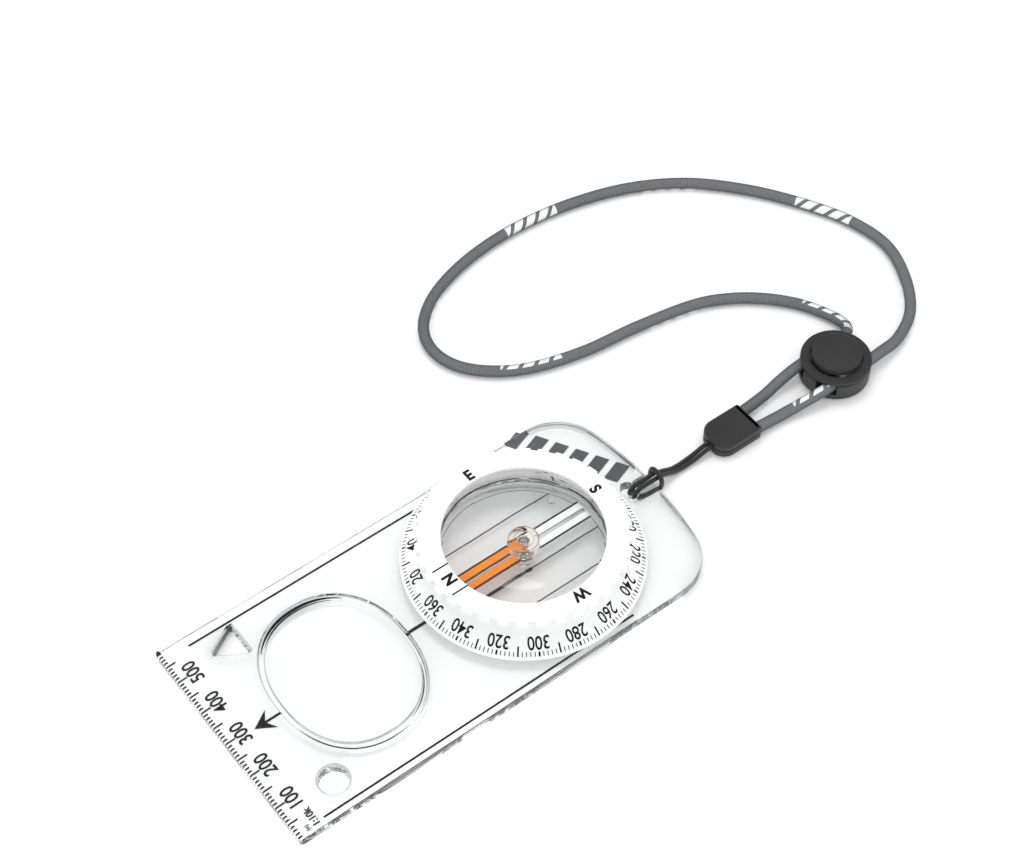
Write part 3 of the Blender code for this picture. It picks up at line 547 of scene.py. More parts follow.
def braided_black():
    """Thin glossy black braid."""
    mat, tree, shader = new_material("braided_black", Sheen_Weight=0.2, Coat_Weight=0.25,
                                     Coat_Roughness=0.35)
    parts = add(tree, "SeparateXYZ", {0: add(tree, "UVMap", uv_map="cord").outputs[0]})
    along, turn = parts.outputs[0], parts.outputs[1]
    strands = []
    for sign in (1.0, -1.0):
        phase = maths(tree, 'ADD', maths(tree, 'MULTIPLY', turn, 6 * math.tau),
                      maths(tree, 'MULTIPLY', along, sign * math.tau / 0.7))
        strands.append(maths(tree, 'SINE', phase))
    braid = maths(tree, 'MAXIMUM', *strands)
    tone = ramp(tree, braid, (0.0, (0.004,) * 3), (1.0, (0.02, 0.02, 0.021)))
    tree.links.new(tone, shader.inputs["Base Color"])
    tree.links.new(between(tree, braid, 0.55, 0.38), shader.inputs["Roughness"])
    tree.links.new(bump(tree, braid, 0.03 * MM), shader.inputs["Normal"])
    return mat


def brushed_metal(name, color, roughness):
    mat, tree, shader = new_material(name, Metallic=1.0)
    place = add(tree, "TexCoord").outputs["Object"]
    stretched = add(tree, "Mapping", {"Vector": place, "Scale": (900.0, 900.0, 9000.0)}).outputs[0]
    lines = noise(tree, stretched, 1.0, 4.0)
    tone = ramp(tree, lines, (0.2, tinted(color, 0.75)), (0.8, color))
    tree.links.new(tone, shader.inputs["Base Color"])
    tree.links.new(between(tree, lines, roughness * 0.6, roughness * 1.4), shader.inputs["Roughness"])
    tree.links.new(bump(tree, lines, 0.004 * MM), shader.inputs["Normal"])
    return mat


def make_materials():
    return {
        "acrylic": clear_plastic("acrylic", (0.979, 0.982, 0.982)),
        # Painted shade: grey and near-black clear finishes that darken the steep walls of the lens
        # groove, the stencils and the rear edge
        "groove": clear_plastic("acrylic_painted_shade", (0.4, 0.41, 0.415), mirror=0.6),
        "painted_deep_shade": clear_plastic("acrylic_painted_deep_shade", (0.03, 0.031, 0.032), mirror=0.3),
        "capsule": clear_plastic("capsule", (0.981, 0.982, 0.982), 0.0008),
        # Painted shade: grey streaks for the plate's rear corners and rear edge
        "painted_streak_shade": edge_haze(),
        "wet": clear_plastic("capsule_wet", (0.985, 0.985, 0.985), 0.0002, WET_IOR),
        "hub": clear_plastic("hub", (0.98, 0.97, 0.95), 0.0004, WET_IOR + 0.16),
        "white": moulded("white_moulding", (0.9, 0.905, 0.905), 0.38, 0.02, 1400.0, 0.012),
        "ink_and_painted_shade": moulded("black_ink_and_painted_shade", (0.008, 0.008, 0.009), 0.55, 0.3, 2500.0, 0.004,
                       Specular_IOR_Level=0.25),
        "grey_ink": moulded("grey_ink", (0.085, 0.087, 0.09), 0.5, 0.15, 2500.0, 0.004),
        # Painted light: amber for the needle's orange seen through the hub's edges
        "amber_painted_refraction": moulded("amber_painted_refraction", (0.42, 0.2, 0.075), 0.45, 0.3, 2500.0, 0.004),
        "red_ink": moulded("dark_red_ink", (0.045, 0.012, 0.012), 0.45, 0.3, 2500.0, 0.004),
        "orange": moulded("orange_paint", (0.84, 0.235, 0.004), 0.45, 0.07, 1600.0, 0.006,
                          Specular_IOR_Level=0.2),
        "needle_white": moulded("needle_white", (0.86, 0.87, 0.87), 0.3, 0.04, 1600.0, 0.006,
                                Coat_Weight=0.3, Coat_Roughness=0.15),
        "steel": brushed_metal("bright_steel", (0.72, 0.72, 0.74), 0.24),
        "magnet": brushed_metal("magnet_alloy", (0.3, 0.3, 0.31), 0.4),
        "jewel": clear_plastic("jewel", (0.86, 0.9, 0.97), 0.0, 1.32),
        "black": moulded("black_moulding", (0.026, 0.026, 0.027), 0.5, 0.2, 1500.0, 0.05),
        "cord": woven_cord(),
        "leash": braided_black(),
    }


# ---------------- camera, light and floor

def make_camera():
    data = bpy.data.cameras.new("camera")
    data.lens = CAMERA_LENS
    data.sensor_width = 36.0
    data.sensor_fit = 'HORIZONTAL'
    data.clip_start = 0.01
    camera = link(bpy.data.objects.new("camera", data))
    camera.location = CAMERA_PLACE
    camera.rotation_euler = (math.radians(90.0 - CAMERA_ELEVATION), 0.0,
                             math.radians(CAMERA_AZIMUTH))
    bpy.context.scene.camera = camera


def make_world():
    """Even light for matt surfaces; clear and glossy ones also see a patchy dark horizon."""
    world = bpy.data.worlds.new("studio")
    world.cycles.sampling_method = 'NONE'
    bpy.context.scene.world = world
    world.use_nodes = True
    tree = world.node_tree
    direction = add(tree, "TexCoord").outputs["Generated"]
    height = add(tree, "SeparateXYZ", {0: direction}).outputs[2]
    black, white = (0.0,) * 3, (1.0,) * 3
    patches = ramp(tree, noise(tree, direction, 3.2, 1.0), (0.47, black), (0.52, white))
    wide = ramp(tree, height, (0.88, white), (0.92, black))
    narrow = ramp(tree, height, (0.07, white), (0.11, black))
    dark = maths(tree, 'MAXIMUM', narrow, maths(tree, 'MULTIPLY', wide, patches))
    through = mix(tree, dark, white, (0.03,) * 3)
    ceiling = ramp(tree, height, (0.5, black), (0.6, white), (0.9, white), (0.96, black))
    reflected = mix(tree, ceiling, through, (0.4,) * 3)
    ray = add(tree, "LightPath").outputs
    level = mix(tree, ray["Is Glossy Ray"], through, reflected)
    lighting = maths(tree, 'GREATER_THAN', ray["Diffuse Depth"], 0.5)
    level = mix(tree, lighting, level, (1.1,) * 3)
    level = mix(tree, ray["Is Camera Ray"], level, white)
    tree.links.new(level, tree.nodes["Background"].inputs["Color"])


def make_light(name, place, size, watts, target=(0.0, -0.03, 0.0)):
    data = bpy.data.lights.new(name, 'AREA')
    data.shape = 'DISK'
    data.size = size
    data.energy = watts
    lamp = link(bpy.data.objects.new(name, data))
    lamp.location = place
    aim = Vector(target) - Vector(place)
    lamp.rotation_euler = aim.to_track_quat('-Z', 'Y').to_euler()
    lamp.visible_glossy = False


def make_floor():
    mat = moulded("pale_floor", (0.93, 0.93, 0.93), 0.7, 0.004, 300.0, 0.0)
    bm = bmesh.new()
    bmesh.ops.create_circle(bm, cap_ends=True, segments=96, radius=2.5)
    bmesh.ops.translate(bm, verts=bm.verts, vec=(0.0, 0.0, -0.05 * MM))
    floor = mesh_object("floor", bm, mat)


def make_studio():
    make_world()
    make_light("key", (0.3, -0.25, 1.0), 0.35, 2.4)
    make_floor()
    scene = bpy.context.scene
    scene.view_settings.view_transform = 'Standard'
    scene.cycles.max_bounces = 32
    scene.cycles.diffuse_bounces = 8
    scene.cycles.glossy_bounces = 24
    scene.cycles.transmission_bounces = 24
    scene.cycles.transparent_max_bounces = 24
    scene.cycles.sample_clamp_indirect = 4.0


# ---------------- cords

def leash_centre(y):
    """The leash's middle line drifts a little between its knot and the clasp."""
    share = min(1.0, max(0.0, (y - KNOT_Y_MM) / (CLASP_MOUTH_Y_MM - KNOT_Y_MM)))
    return KNOT_X_MM + (CLASP_X_MM - KNOT_X_MM) * share


def make_leash(mats, clasp):
    left = [(leash_centre(y) - x, y, z) for x, y, z in LEASH_LEG]
    right = [(leash_centre(y) + x, y, z) for x, y, z in LEASH_LEG]
    points, length = smooth_route(left + [LEASH_CREST] + right[::-1], 0.25)
    leash = tube("leash", points, lambda along: LEASH_D_MM / 2.0, 14, mats["leash"])
    wear(leash, "plate", "leash_black", "leash_cord")


def make_lanyard(mats, lock):
    points, length = smooth_route(LANYARD_ROUTE, RIB_MM / RIB_RINGS)

    def ribbed(along):
        return LANYARD_D_MM / 2.0 * (0.98 + 0.02 * math.cos(math.tau * along / RIB_MM))

    lanyard = tube("lanyard", points, ribbed, 16, mats["cord"])
    wear(lanyard, "plate", "cord_grey", "lanyard_cord")


# ---------------- outlines, in mm

def arc(centre, radius, start, end, count):
    points = []
    for i in range(count + 1):
        angle = math.radians(start + (end - start) * i / count)
        points.append((centre[0] + radius * math.cos(angle), centre[1] + radius * math.sin(angle)))
    return points


def mirrored(points):
    return [(-x, y) for x, y in reversed(points)]


def plate_outline():
    """Square front corners, round rear corners and a bowed rear edge."""
    half, front = PLATE_HALF_MM, PLATE_FRONT_MM
    bow_y = REAR_BOW_MM - front
    corner_x = half - REAR_CORNER_MM
    corner_y = bow_y - math.sqrt((REAR_BOW_MM - REAR_CORNER_MM) ** 2 - corner_x ** 2)
    meet = math.degrees(math.atan2(corner_y - bow_y, corner_x))
    right = arc((0.0, bow_y), REAR_BOW_MM, -90.0, meet, 16)
    right += arc((corner_x, corner_y), REAR_CORNER_MM, meet, 0.0, 32)[1:]
    right += arc((half - 1.0, front - 1.0), 1.0, 0.0, 90.0, 8)
    return right + mirrored(right)[:-1]


def triangle_outline():
    x, y, side = TRIANGLE_MM
    corner = 0.5
    inset = side / math.sqrt(3.0) - 2.0 * corner
    points = []
    for turn in (90.0, 210.0, 330.0):
        middle = (x + inset * math.cos(math.radians(turn)), y + inset * math.sin(math.radians(turn)))
        points += arc(middle, corner, turn - 60.0, turn + 60.0, 8)
    return points


def slot_outline(x, y, width, length):
    half = length / 2.0
    reach = width / 2.0 - half
    return (arc((x + reach, y), half, -90.0, 90.0, 20)
            + arc((x - reach, y), half, 90.0, 270.0, 20))


def box_outline(low, high):
    return [low, (high[0], low[1]), high, (low[0], high[1])]


# ---------------- baseplate

def front_bevel_cutter():
    """Cuts the sloping ruler strip and breaks its front edge."""
    slope = (PLATE_THICK_MM - FRONT_EDGE_MM) / FRONT_BEVEL_MM
    start = PLATE_FRONT_MM - FRONT_BEVEL_MM - 1.0
    edge = PLATE_FRONT_MM - 0.3
    profile = [(start, PLATE_THICK_MM + slope), (edge, FRONT_EDGE_MM + 0.3 * slope),
               (edge + 1.2, FRONT_EDGE_MM - 0.9), (edge + 1.2, 8.0), (start, 8.0)]
    rings = []
    for x in (-35.0, 35.0):
        rings.append([(x * MM, y * MM, z * MM) for y, z in profile])
    return loft("front_bevel", rings)


def lens_pieces():
    """The groove that frames the lens, to cut out, and the dome, to join on."""
    wide, deep = GROOVE_HALF_MM
    steps = ((0.1, 8.0), (0.1, 3.02), (-0.03, 2.9), (-0.12, 2.4), (-0.35, GROOVE_FLOOR_MM),
             (-12.0, GROOVE_FLOOR_MM))
    groove = loft("groove", [squircle(wide + grow, deep + grow, z) for grow, z in steps])
    wide, deep = LENS_HALF_MM
    rings = []
    for i in range(25):
        share = max(i / 24.0, 0.02)
        height = LENS_TOP_MM - 1.6 * share ** 2
        rings.append(squircle(wide * share, deep * share, height))
    for grow, z in ((0.08, 2.82), (0.12, 2.4), (0.3, 2.25), (0.3, 1.2), (-12.0, 1.2)):
        rings.append(squircle(wide + grow, deep + grow, z))
    return groove, loft("dome", rings)


def tint_groove(plate, grey_painted_shade, deep):
    """Painted shade: the steep walls of the lens groove, the stencils and the rear edge get a grey
    clear finish, and the triangle's wall that faces -X gets a near-black one, in place of the dark
    that refraction gives those edges."""
    plate.data.materials.append(grey_painted_shade)
    plate.data.materials.append(deep)
    half_width, rear, front = CUTOUTS_MM
    for face in plate.data.polygons:
        x, y, z = face.center / MM
        normal = face.normal
        steep = abs(normal.z) < 0.85
        inside = abs(x) < half_width and rear < y < front
        # Painted shade: near-black on the triangle's wall that faces -X, grey on the other steep walls
        if x > 15.0 and y > 40.0 and inside and normal.x < -0.3 and abs(normal.z) < 0.5:
            face.material_index = 2
        elif inside and steep and z > GROOVE_FLOOR_MM - 0.1:
            face.material_index = 1
        elif y < REAR_Y_MM and steep and abs(x) > 6.0:
            face.material_index = 1


def make_baseplate(mats):
    levels = ((0.0, 0.35), (0.1, 0.1), (0.35, 0.0), (2.35, 0.0), (2.68, 0.09), (2.88, 0.28),
              (2.97, 0.48), (3.0, 0.7))
    plate = prism("plate_clear", plate_outline(), levels, mats["acrylic"])
    outer, deep = COUNTERBORE_MM
    inner = HOUSING_HOLE_MM
    housing = lathe("housing_hole", [
        (0.0, -2.0, 0), (outer, -2.0, 0), (outer, deep, 0), (inner, deep, 0), (inner, 2.75, 0),
        (inner + 1.25, 4.0, 0), (0.0, 4.0, 0)], 144, AXIS)
    x, y, radius = ROUND_STENCIL_MM
    stencil = lathe("round_stencil", [
        (0.0, -2.0, 0), (radius, -2.0, 0), (radius, 2.5, 0), (radius + 1.5, 4.0, 0),
        (0.0, 4.0, 0)], 72, (x * MM, y * MM))
    flare = ((-2.0, 0.0), (2.6, 0.0), (3.0, -0.4), (4.0, -1.4))
    triangle = prism("triangle_stencil", triangle_outline(), flare)
    eye = ((-2.0, 0.0), (2.45, 0.0), (2.72, -0.09), (2.9, -0.28), (3.0, -0.55), (4.0, -3.0))
    cord_hole = prism("cord_hole", slot_outline(*CORD_HOLE_MM), eye)
    half, depth = CHANNEL_MM[0] / 2.0, CHANNEL_MM[1]
    under = box_outline((KNOT_X_MM - half, -64.0), (KNOT_X_MM + half, CORD_HOLE_MM[1]))
    channel = prism("channel", under, ((-2.0, 0.0), (depth, 0.0)))
    groove, dome = lens_pieces()
    carve(plate, [front_bevel_cutter(), housing, stencil, triangle, cord_hole, channel, groove],
          [dome])
    wear(even_normals(plate), "plate", "clear_acrylic", "baseplate")
    tint_groove(plate, mats["groove"], mats["painted_deep_shade"])


# ---------------- dial, capsule and needle

def notch_cutter():
    """A ring of blocks with broken edges that cut the grip's notches."""
    bm = bmesh.new()
    half_w = 0.9
    outline = rounded([(0.0, -half_w, 0.25), (2.0, -half_w, 0), (2.0, half_w, 0),
                       (0.0, half_w, 0.25)], closed=True)
    levels = ((10.0, 0.0), (12.0, 0.0), (12.5, 0.12))
    for i in range(NOTCHES):
        turn = math.tau * (i + NOTCH_PHASE) / NOTCHES
        rows = []
        for height, shrink in levels:
            row = []
            for a, b in outline:
                r = NOTCH_MM + a
                t = b * (1.0 + shrink)
                row.append(bm.verts.new((AXIS.x + (r * math.cos(turn) - t * math.sin(turn)) * MM,
                                         AXIS.y + (r * math.sin(turn) + t * math.cos(turn)) * MM,
                                         height * MM)))
            rows.append(row)
        bm.faces.new(rows[0])
        bm.faces.new(rows[-1])
        for low, high in zip(rows, rows[1:]):
            for k in range(len(low)):
                j = (k + 1) % len(low)
                bm.faces.new((low[k], low[j], high[j], high[k]))
    return mesh_object("notches", bm)


def wet_walls(obj, mat, inner, outer, low, high):
    """Gives the upright walls in the capsule's liquid, between two radii and heights, a finish."""
    obj.data.materials.append(mat)
    for face in obj.data.polygons:
        centre = face.center - AXIS
        radius = Vector(centre[:2]).length / MM
        if inner < radius < outer and low * MM < centre.z < high * MM:
            face.material_index = 1


def make_dial(mats):
    top = RING_TOP_MM - 0.03
    ring = lathe("dial_ring_fine", [
        (WINDOW_MM, top, 0.22), (GRIP_MM, top, 0.7), (GRIP_MM, GRIP_UNDER_MM, 0.3),
        (CONE_TOP_MM[0], GRIP_UNDER_MM, 0.25), (*CONE_TOP_MM, 0.35), (*CONE_RIM_MM, 0.1),
        (29.2, 3.7, 0.12), (29.2, 3.35, 0.08),
        (28.3, 3.35, 0), (24.9, 5.7, 0), (24.9, 3.35, 0), (22.6, 3.35, 0), (22.6, 11.3, 0),
        (WINDOW_MM, 11.3, 0.15)], 216, AXIS, mats["white"], closed=True)
    carve(ring, [notch_cutter()])
    wear(even_normals(ring), "housing", "white_plastic", "dial_ring")
    cup = lathe("capsule_cup", [
        (0.0, 1.4, 0), (0.9, 1.4, 0), (0.9, 2.6, 0.08), (2.0, 2.6, 0.15),
        (2.2, CAPSULE_FLOOR_MM, 0.1), (20.0, CAPSULE_FLOOR_MM, 0.8), (21.3, 2.9, 0.8),
        (21.3, 10.2, 0), (22.3, 10.2, 0.1),
        (22.3, 0.5, 0.25), (0.0, 0.5, 0)], 144, AXIS, mats["capsule"])
    plug_hole = lathe("filling_hole", [(0.0, -1.0, 0), (1.2, -1.0, 0), (1.2, 4.0, 0), (0.0, 4.0, 0)],
                      32, (AXIS.x + 9.4 * MM, AXIS.y - 15.7 * MM))
    carve(cup, [plug_hole])
    wear(even_normals(cup), "housing", "clear_acrylic", "capsule_base")
    wet_walls(cup, mats["wet"], 20.05, 21.32, 1.3, 10.1)
    lid = lathe("capsule_window", [
        (0.0, 11.57, 0), (5.0, 11.54, 4.0), (10.0, 11.42, 4.0), (15.0, 11.23, 4.0),
        (18.8, 11.0, 0.2), (22.3, 11.0, 0.1), (22.3, 10.5, 0), (21.0, 10.5, 0), (21.0, 4.9, 0.1),
        (20.2, 4.9, 0.1), (20.2, 10.0, 0.3), (10.0, 10.35, 6.0), (0.0, 10.45, 0)],
        144, AXIS, mats["capsule"])
    wear(even_normals(lid), "housing", "clear_acrylic", "capsule_lid")
    wet_walls(lid, mats["wet"], 20.1, 21.05, 4.8, 9.9)


def make_needle(mats):
    hub = lathe("hub_cap", [
        (0.0, 9.4, 0), (2.2, 9.4, 0.15), (2.5, HUB_TOP_MM, 0.1), (3.9, HUB_TOP_MM, 0.35),
        (3.9, 6.8, 0.1),
        (1.5, 6.8, 0), (1.5, 9.0, 0.1), (0.0, 9.0, 0)], 72, AXIS, mats["hub"])
    wear(even_normals(hub), "needle", "clear_acrylic", "needle_hub")


# ---------------- printed marks, and thin marks of painted shade and painted light

def bar(bm, outline, put):
    """A thin solid over a flat outline; put maps (across, up, lift) to a place."""
    low = [bm.verts.new(put(x, y, 0.0)) for x, y in outline]
    high = [bm.verts.new(put(x, y, 1.0)) for x, y in outline]
    bm.faces.new(low)
    bm.faces.new(high)
    for i in range(len(outline)):
        j = (i + 1) % len(outline)
        bm.faces.new((low[i], low[j], high[j], high[i]))


def stripe(bm, x, y, width, height, put):
    """A straight bar whose low left corner is at (x, y)."""
    bar(bm, box_outline((x, y), (x + width, y + height)), put)


def annulus(bm, inner, outer, put, steps=120):
    """A thin flat ring."""
    for i in range(steps):
        turns = [math.tau * (i + k) / steps for k in (0, 1)]
        outline = [(r * math.sin(t), r * math.cos(t))
                   for r, t in ((inner, turns[0]), (inner, turns[1]), (outer, turns[1]),
                                (outer, turns[0]))]
        bar(bm, outline, put)


def lettering(bm, text, height, squeeze, weight, put, at=(0.0, 0.0)):
    """Thin solid characters of a given height in mm, centred on a place."""
    curve = bpy.data.curves.new("lettering", 'FONT')
    curve.body = text
    curve.extrude = 0.5
    curve.offset = weight
    curve.resolution_u = 5
    obj = link(bpy.data.objects.new("lettering", curve))
    graph = bpy.context.evaluated_depsgraph_get()
    mesh = bpy.data.meshes.new_from_object(obj.evaluated_get(graph))
    bpy.data.objects.remove(obj, do_unlink=True)
    xs = [vert.co.x for vert in mesh.vertices]
    ys = [vert.co.y for vert in mesh.vertices]
    scale = height / (max(ys) - min(ys))
    middle = ((max(xs) + min(xs)) / 2.0, (max(ys) + min(ys)) / 2.0)
    for vert in mesh.vertices:
        across = at[0] + (vert.co.x - middle[0]) * scale * squeeze
        up = at[1] + (vert.co.y - middle[1]) * scale
        vert.co = put(across, up, vert.co.z + 0.5)
    bm.from_mesh(mesh)
    bpy.data.meshes.remove(mesh)


def finish_marks(name, bm, mat, body, slot):
    bmesh.ops.remove_doubles(bm, verts=bm.verts, dist=0.0002 * MM)
    wear(mesh_object(name, bm, mat), body, slot)


def flat_print(height, centre=(0.0, 0.0)):
    """Marks that lie flat at a height in mm, measured from a centre."""

    def put(across, up, lift):
        return ((centre[0] + across) * MM, (centre[1] + up) * MM, (height + INK_MM * lift) * MM)

    return put


def under_plate():
    """Printed on the plate's underside and sealed under a thin clear coat."""
    return flat_print(0.05)


def on_ring_top(bearing, radius):
    """Marks with their tops outward on the ring's flat top."""
    turn = math.radians(bearing)

    def put(across, up, lift):
        out = (radius + up) * MM
        x = out * math.sin(turn) + across * MM * math.cos(turn)
        y = out * math.cos(turn) - across * MM * math.sin(turn)
        return (AXIS.x + x, AXIS.y + y, (RING_TOP_MM - 0.045 + INK_MM * lift) * MM)

    return put


def on_cone(bearing, radius):
    """Marks that follow the graduated cone, with their tops outward."""

    def put(across, up, lift):
        r = radius + up * CONE_COSINE
        turn = math.radians(bearing) + across / r
        rise = INK_MM * (lift - 0.5) * CONE_COSINE
        z = CONE_TOP_MM[1] - CONE_DROP * (r - CONE_TOP_MM[0]) + rise
        r += rise * CONE_DROP
        return (AXIS.x + r * MM * math.sin(turn), AXIS.y + r * MM * math.cos(turn), z * MM)

    return put


def print_ruler(mats):
    """The front ruler with its map scale, the side lines and the travel arrow."""
    bm = bmesh.new()
    put = under_plate()
    zero, base = -29.3, 60.5
    for i in range(60):
        low = 57.8 if i % 5 == 0 else 59.2
        stripe(bm, zero + i - 0.2, low, 0.4, base - low, put)
    for i in range(1, 6):
        lettering(bm, str(100 * i), 3.4, 0.84, 0.014, put, (zero + 10 * i + 0.4, 56.0))
    lettering(bm, "1:10k", 1.8, 0.95, 0.03, put, (-25.45, 55.1))
    lettering(bm, "(m)", 1.2, 0.9, 0.02, put, (-27.4, 57.2))
    for x in (-27.5, 27.5):
        stripe(bm, x - 0.25, -33.3, 0.5, 86.4, put)
    right = [(0.3, 46.3), (0.3, 50.1), (2.75, 48.6)]
    bar(bm, [(0.0, 53.1), *mirrored(right), *right], put)
    stripe(bm, -0.4, 5.7, 0.8, 6.0, put)
    finish_marks("plate_prints", bm, mats["ink_and_painted_shade"], "plate", "black_plastic")


def shade_groove(mats):
    """Painted shade: tapering black lines on the groove's floor, in place of the dark that the
    groove's curved walls gather on its far and near sides.
    """
    bm = bmesh.new()
    put = flat_print(GROOVE_FLOOR_MM - 0.01, (0.0, LENS_Y_MM))
    steps = 48
    # Half width and half depth of each line's curve, its first and last angle, and its width
    lines = ((20.65, 16.95, -34.0, 40.0, 0.78), (19.95, 16.45, -26.0, 34.0, 0.5),
             (20.85, 17.1, 112.0, 190.0, 0.4), (20.0, 16.45, 196.0, 240.0, 0.3),
             (20.8, 17.05, 205.0, 300.0, 0.2))
    for half_x, half_y, start, end, width in lines:
        edge = []
        for i in range(steps + 1):
            turn = math.radians(start + (end - start) * i / steps)
            half = 0.5 * width * math.sin(math.pi * (0.03 + 0.94 * i / steps)) ** 0.7
            total = (abs(math.cos(turn)) / half_x) ** SQUIRCLE_POWER
            total += (abs(math.sin(turn)) / half_y) ** SQUIRCLE_POWER
            radius = total ** (-1.0 / SQUIRCLE_POWER)
            edge.append([(r * math.cos(turn), r * math.sin(turn))
                         for r in (radius - half, radius + half)])
        for a, b in zip(edge, edge[1:]):
            bar(bm, [a[0], a[1], b[1], b[0]], put)
    # Black ink here is painted shade, not print
    finish_marks("groove_shade", bm, mats["ink_and_painted_shade"], "plate", "black_plastic")


def shade_rear_edge(mats):
    """A thin band of painted shade, grey streaks just inside the plate's rear corners and rear edge.
    It stands upright and leaves out the middle, where the cord hole is."""
    low, high = 0.4, 2.4
    outer, inner = 0.992, 0.9905    # shares of the outline's distance from the origin
    bm = bmesh.new()

    def put(x, y, lift):
        return (x * MM, y * MM, (low + (high - low) * lift) * MM)

    rear = [Vector(point) for point in plate_outline() if point[1] < REAR_Y_MM]
    for a, b in zip(rear, rear[1:]):
        neighbours = (b - a).length < 20.0
        if neighbours and abs(a.x + b.x) > 9.0:
            bar(bm, [a * outer, b * outer, b * inner, a * inner], put)
    finish_marks("rear_edge_painted_shade", bm, mats["painted_streak_shade"], "plate", "clear_acrylic")


def print_badge(mats):
    """Plain slanted blocks on the rear of the plate."""
    start, along, across = Vector((4.5, -57.2)), Vector((0.864, 0.504)), Vector((-0.504, 0.864))
    put = under_plate()
    bm = bmesh.new()
    for i in range(6):
        low = 0.4 + 5.3 * i
        block = ((low, -3.4), (low + 3.5, -3.4), (low + 4.6, 2.4), (low + 1.1, 2.4))
        bar(bm, [tuple(start + along * a + across * b) for a, b in block], put)
    finish_marks("plate_badge", bm, mats["grey_ink"], "plate", "black_plastic")


def print_dial(mats):
    """Graduation and numbers on the cone, letters and two bars at north on the ring's top."""
    bm = bmesh.new()
    for i in range(180):
        bearing = 2.0 * i
        radial, width = 0.9, 0.22
        if bearing % 20 == 0:
            width = 0.46
        elif bearing % 10 == 0:
            radial, width = 1.95, 0.42
        length = radial / CONE_COSINE
        stripe(bm, -width / 2.0, -length, width, length, on_cone(bearing, TICK_RADIUS_MM))
    for i in range(18):
        bearing = 20 * i
        put = on_cone(bearing, NUMBER_RADIUS_MM)
        lettering(bm, str(bearing or 360), 3.2, 0.8, 0.014, put)
    for bearing, letter in ((0, "N"), (90, "E"), (180, "S"), (270, "W")):
        lettering(bm, letter, 3.15, 0.92, 0.045, on_ring_top(bearing, LETTER_RADIUS_MM))
    finish_marks("dial_prints", bm, mats["ink_and_painted_shade"], "housing", "black_plastic")
    bm = bmesh.new()
    put = on_ring_top(0.0, 0.0)
    for x in (-3.85, 3.85):
        stripe(bm, x - 0.2, 18.95, 0.4, 4.4, put)
    finish_marks("north_bars", bm, mats["ink_and_painted_shade"], "housing", "black_plastic")


def print_capsule(mats):
    """Orienting lines just under the capsule's floor, and a hair ring near its wall."""
    bm = bmesh.new()
    put = flat_print(CAPSULE_FLOOR_MM - 0.05, AXIS_MM)
    for x, reach in ((11.5, 16.4), (3.2, 19.6)):
        for sign in (-1.0, 1.0):
            stripe(bm, sign * x - 0.17, -reach, 0.34, 2 * reach, put)
    annulus(bm, 19.9, 20.05, put)
    finish_marks("capsule_lines", bm, mats["ink_and_painted_shade"], "housing", "black_plastic")
    bm = bmesh.new()
    put = flat_print(CAPSULE_FLOOR_MM - 0.089, AXIS_MM)
    for x in (-3.2, 3.2):
        stripe(bm, x - 0.45, 0.0, 0.9, 19.5, put)
    finish_marks("north_lines", bm, mats["red_ink"], "housing", "black_plastic")


def print_needle(mats):
    """Black edge lines along both halves of the needle, and two amber rings of painted light at the
    hub's step and rim, where the orange needle shows through their edges.
    """
    bm = bmesh.new()
    put = flat_print(high_mm("needle_north")[2] - 0.015, AXIS_MM)
    for start in (-17.95, 0.2):
        for x in (-2.79, 2.29):
            stripe(bm, x, start, 0.5, 17.75, put)
    finish_marks("needle_lines", bm, mats["ink_and_painted_shade"], "needle", "black_plastic")
    # Painted light: amber rings at the hub's step and rim, not print
    bm = bmesh.new()
    put = flat_print(HUB_TOP_MM - 0.035, AXIS_MM)
    for inner, outer in ((3.4, 3.62), (2.3, 2.42)):
        annulus(bm, inner, outer, put)
    finish_marks("hub_painted_refraction", bm, mats["amber_painted_refraction"], "needle", "black_plastic")


# ---------------- clasp and cord lock

def clasp_outline():
    half, nose = 4.75, 3.6
    right = [(half - 0.6, -92.1), (half - 0.18, -91.92), (half, -91.5)]
    right += arc((half - nose, -79.3 - nose), nose, 0.0, 90.0, 16)
    return [(CLASP_X_MM + x, y) for x, y in right + mirrored(right)]


def clasp_sockets():
    rods = []
    for sign in (-1.0, 1.0):
        for x, front, back, radius in ((0.7, -77.3, -81.4, 0.85), (2.85, -89.6, -94.1, 1.8)):
            rings = []
            for y in (front, back):
                ring = []
                for a, b in arc((CLASP_X_MM + sign * x, 2.15), radius, 0.0, 345.0, 23):
                    ring.append((a * MM, y * MM, b * MM))
                rings.append(ring)
            rods.append(loft("socket", rings))
    return rods


def make_clasp(mats):
    halves = (
        ("clasp_lower", "clasp_base",
         ((0.0, 0.5), (0.12, 0.22), (0.45, 0.0), (1.92, 0.0), (2.0, 0.1))),
        ("clasp_upper", "clasp_top",
         ((2.3, 0.1), (2.38, 0.0), (3.55, 0.0), (3.95, 0.12), (4.2, 0.4), (4.3, 0.75), (4.3, 1.3))),
    )
    pieces = []
    for name, node, levels in halves:
        half = prism(name, clasp_outline(), levels, mats["black"])
        carve(half, clasp_sockets())
        wear(even_normals(half), "plate", "black_plastic", node)
        pieces.append(half)
    return pieces


def gate_cutters(x, y):
    gates = []
    for sign in (-1.0, 1.0):
        xs = sorted((x + sign * 2.3, x + sign * 6.9))
        outline = box_outline((xs[0], y - 12.0), (xs[1], y + 12.0))
        gates.append(prism("gate", outline, ((2.1, 0.0), (8.0, 0.0))))
    return gates


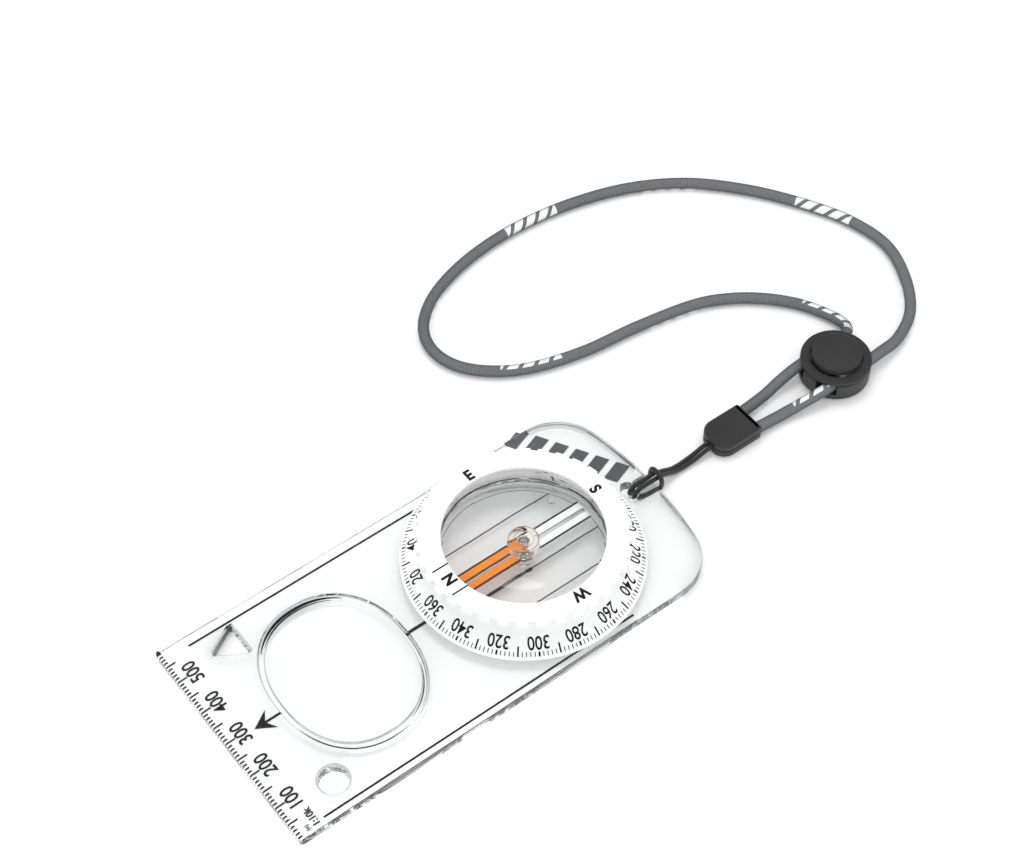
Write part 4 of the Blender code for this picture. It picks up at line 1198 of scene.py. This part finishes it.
def make_lock(mats):
    x, y = middle_mm("lock_body")[:2]
    at = (x * MM, y * MM)
    body = lathe("lock_cup", [
        (0.0, 0.4, 0), (7.3, 0.4, 0.2), (7.3, 5.2, 0.1), (9.0, 5.2, 0.18), (9.0, 0.0, 0.9),
        (0.0, 0.0, 0)], 96, at, mats["black"])
    carve(body, gate_cutters(x, y))
    wear(even_normals(body), "plate", "black_plastic", "lock_body")
    collar = lathe("lock_shoulder", [
        (6.6, 6.4, 0.12), (9.0, 6.4, 0.75), (9.0, 5.5, 0.12), (6.6, 5.5, 0.05)],
        96, at, mats["black"], closed=True)
    wear(even_normals(collar), "plate", "black_plastic", "lock_collar")
    button = lathe("lock_plunger", [
        (0.0, 8.4, 0), (5.4, 8.4, 0), (6.3, 8.4, 0.5), (6.3, 6.5, 0.1), (0.0, 6.5, 0)],
        96, at, mats["black"])
    post = prism("post", box_outline((x - 2.3, y - 5.4), (x + 2.3, y + 5.4)), ((1.9, 0), (6.8, 0)))
    foot = lathe("foot", [(0.0, 1.65, 0), (6.9, 1.65, 0.1), (6.9, 2.1, 0.1), (0.0, 2.1, 0)], 72, at)
    carve(button, [], [post, foot])
    bore = lathe("bore", [(0.0, 0.0, 0), (1.75, 0.0, 0), (1.75, 5.6, 0), (0.0, 5.6, 0)], 32, at)
    carve(button, [bore])
    wear(even_normals(button), "button", "black_plastic", "lock_button")
    return [body, collar, button]


def paint_frame(mats):
    """Finishes for the CAD pieces that are shown as they are."""
    finishes = {
        "fill_plug": "capsule", "retaining_ring": "white", "pivot_pin": "steel",
        "jewel_bearing": "jewel", "needle_north": "orange", "needle_south": "needle_white",
        "needle_magnet": "magnet", "lock_spring": "steel",
    }
    for node, finish in finishes.items():
        obj = NODES[node]
        obj.data.materials.clear()
        obj.data.materials.append(mats[finish])


def main():
    make_camera()
    mats = make_materials()
    make_leash(mats, make_clasp(mats))
    make_lanyard(mats, make_lock(mats))
    make_baseplate(mats)
    make_dial(mats)
    make_needle(mats)
    print_ruler(mats)
    print_badge(mats)
    shade_groove(mats)
    shade_rear_edge(mats)
    print_dial(mats)
    print_capsule(mats)
    print_needle(mats)
    paint_frame(mats)
    make_studio()


main()
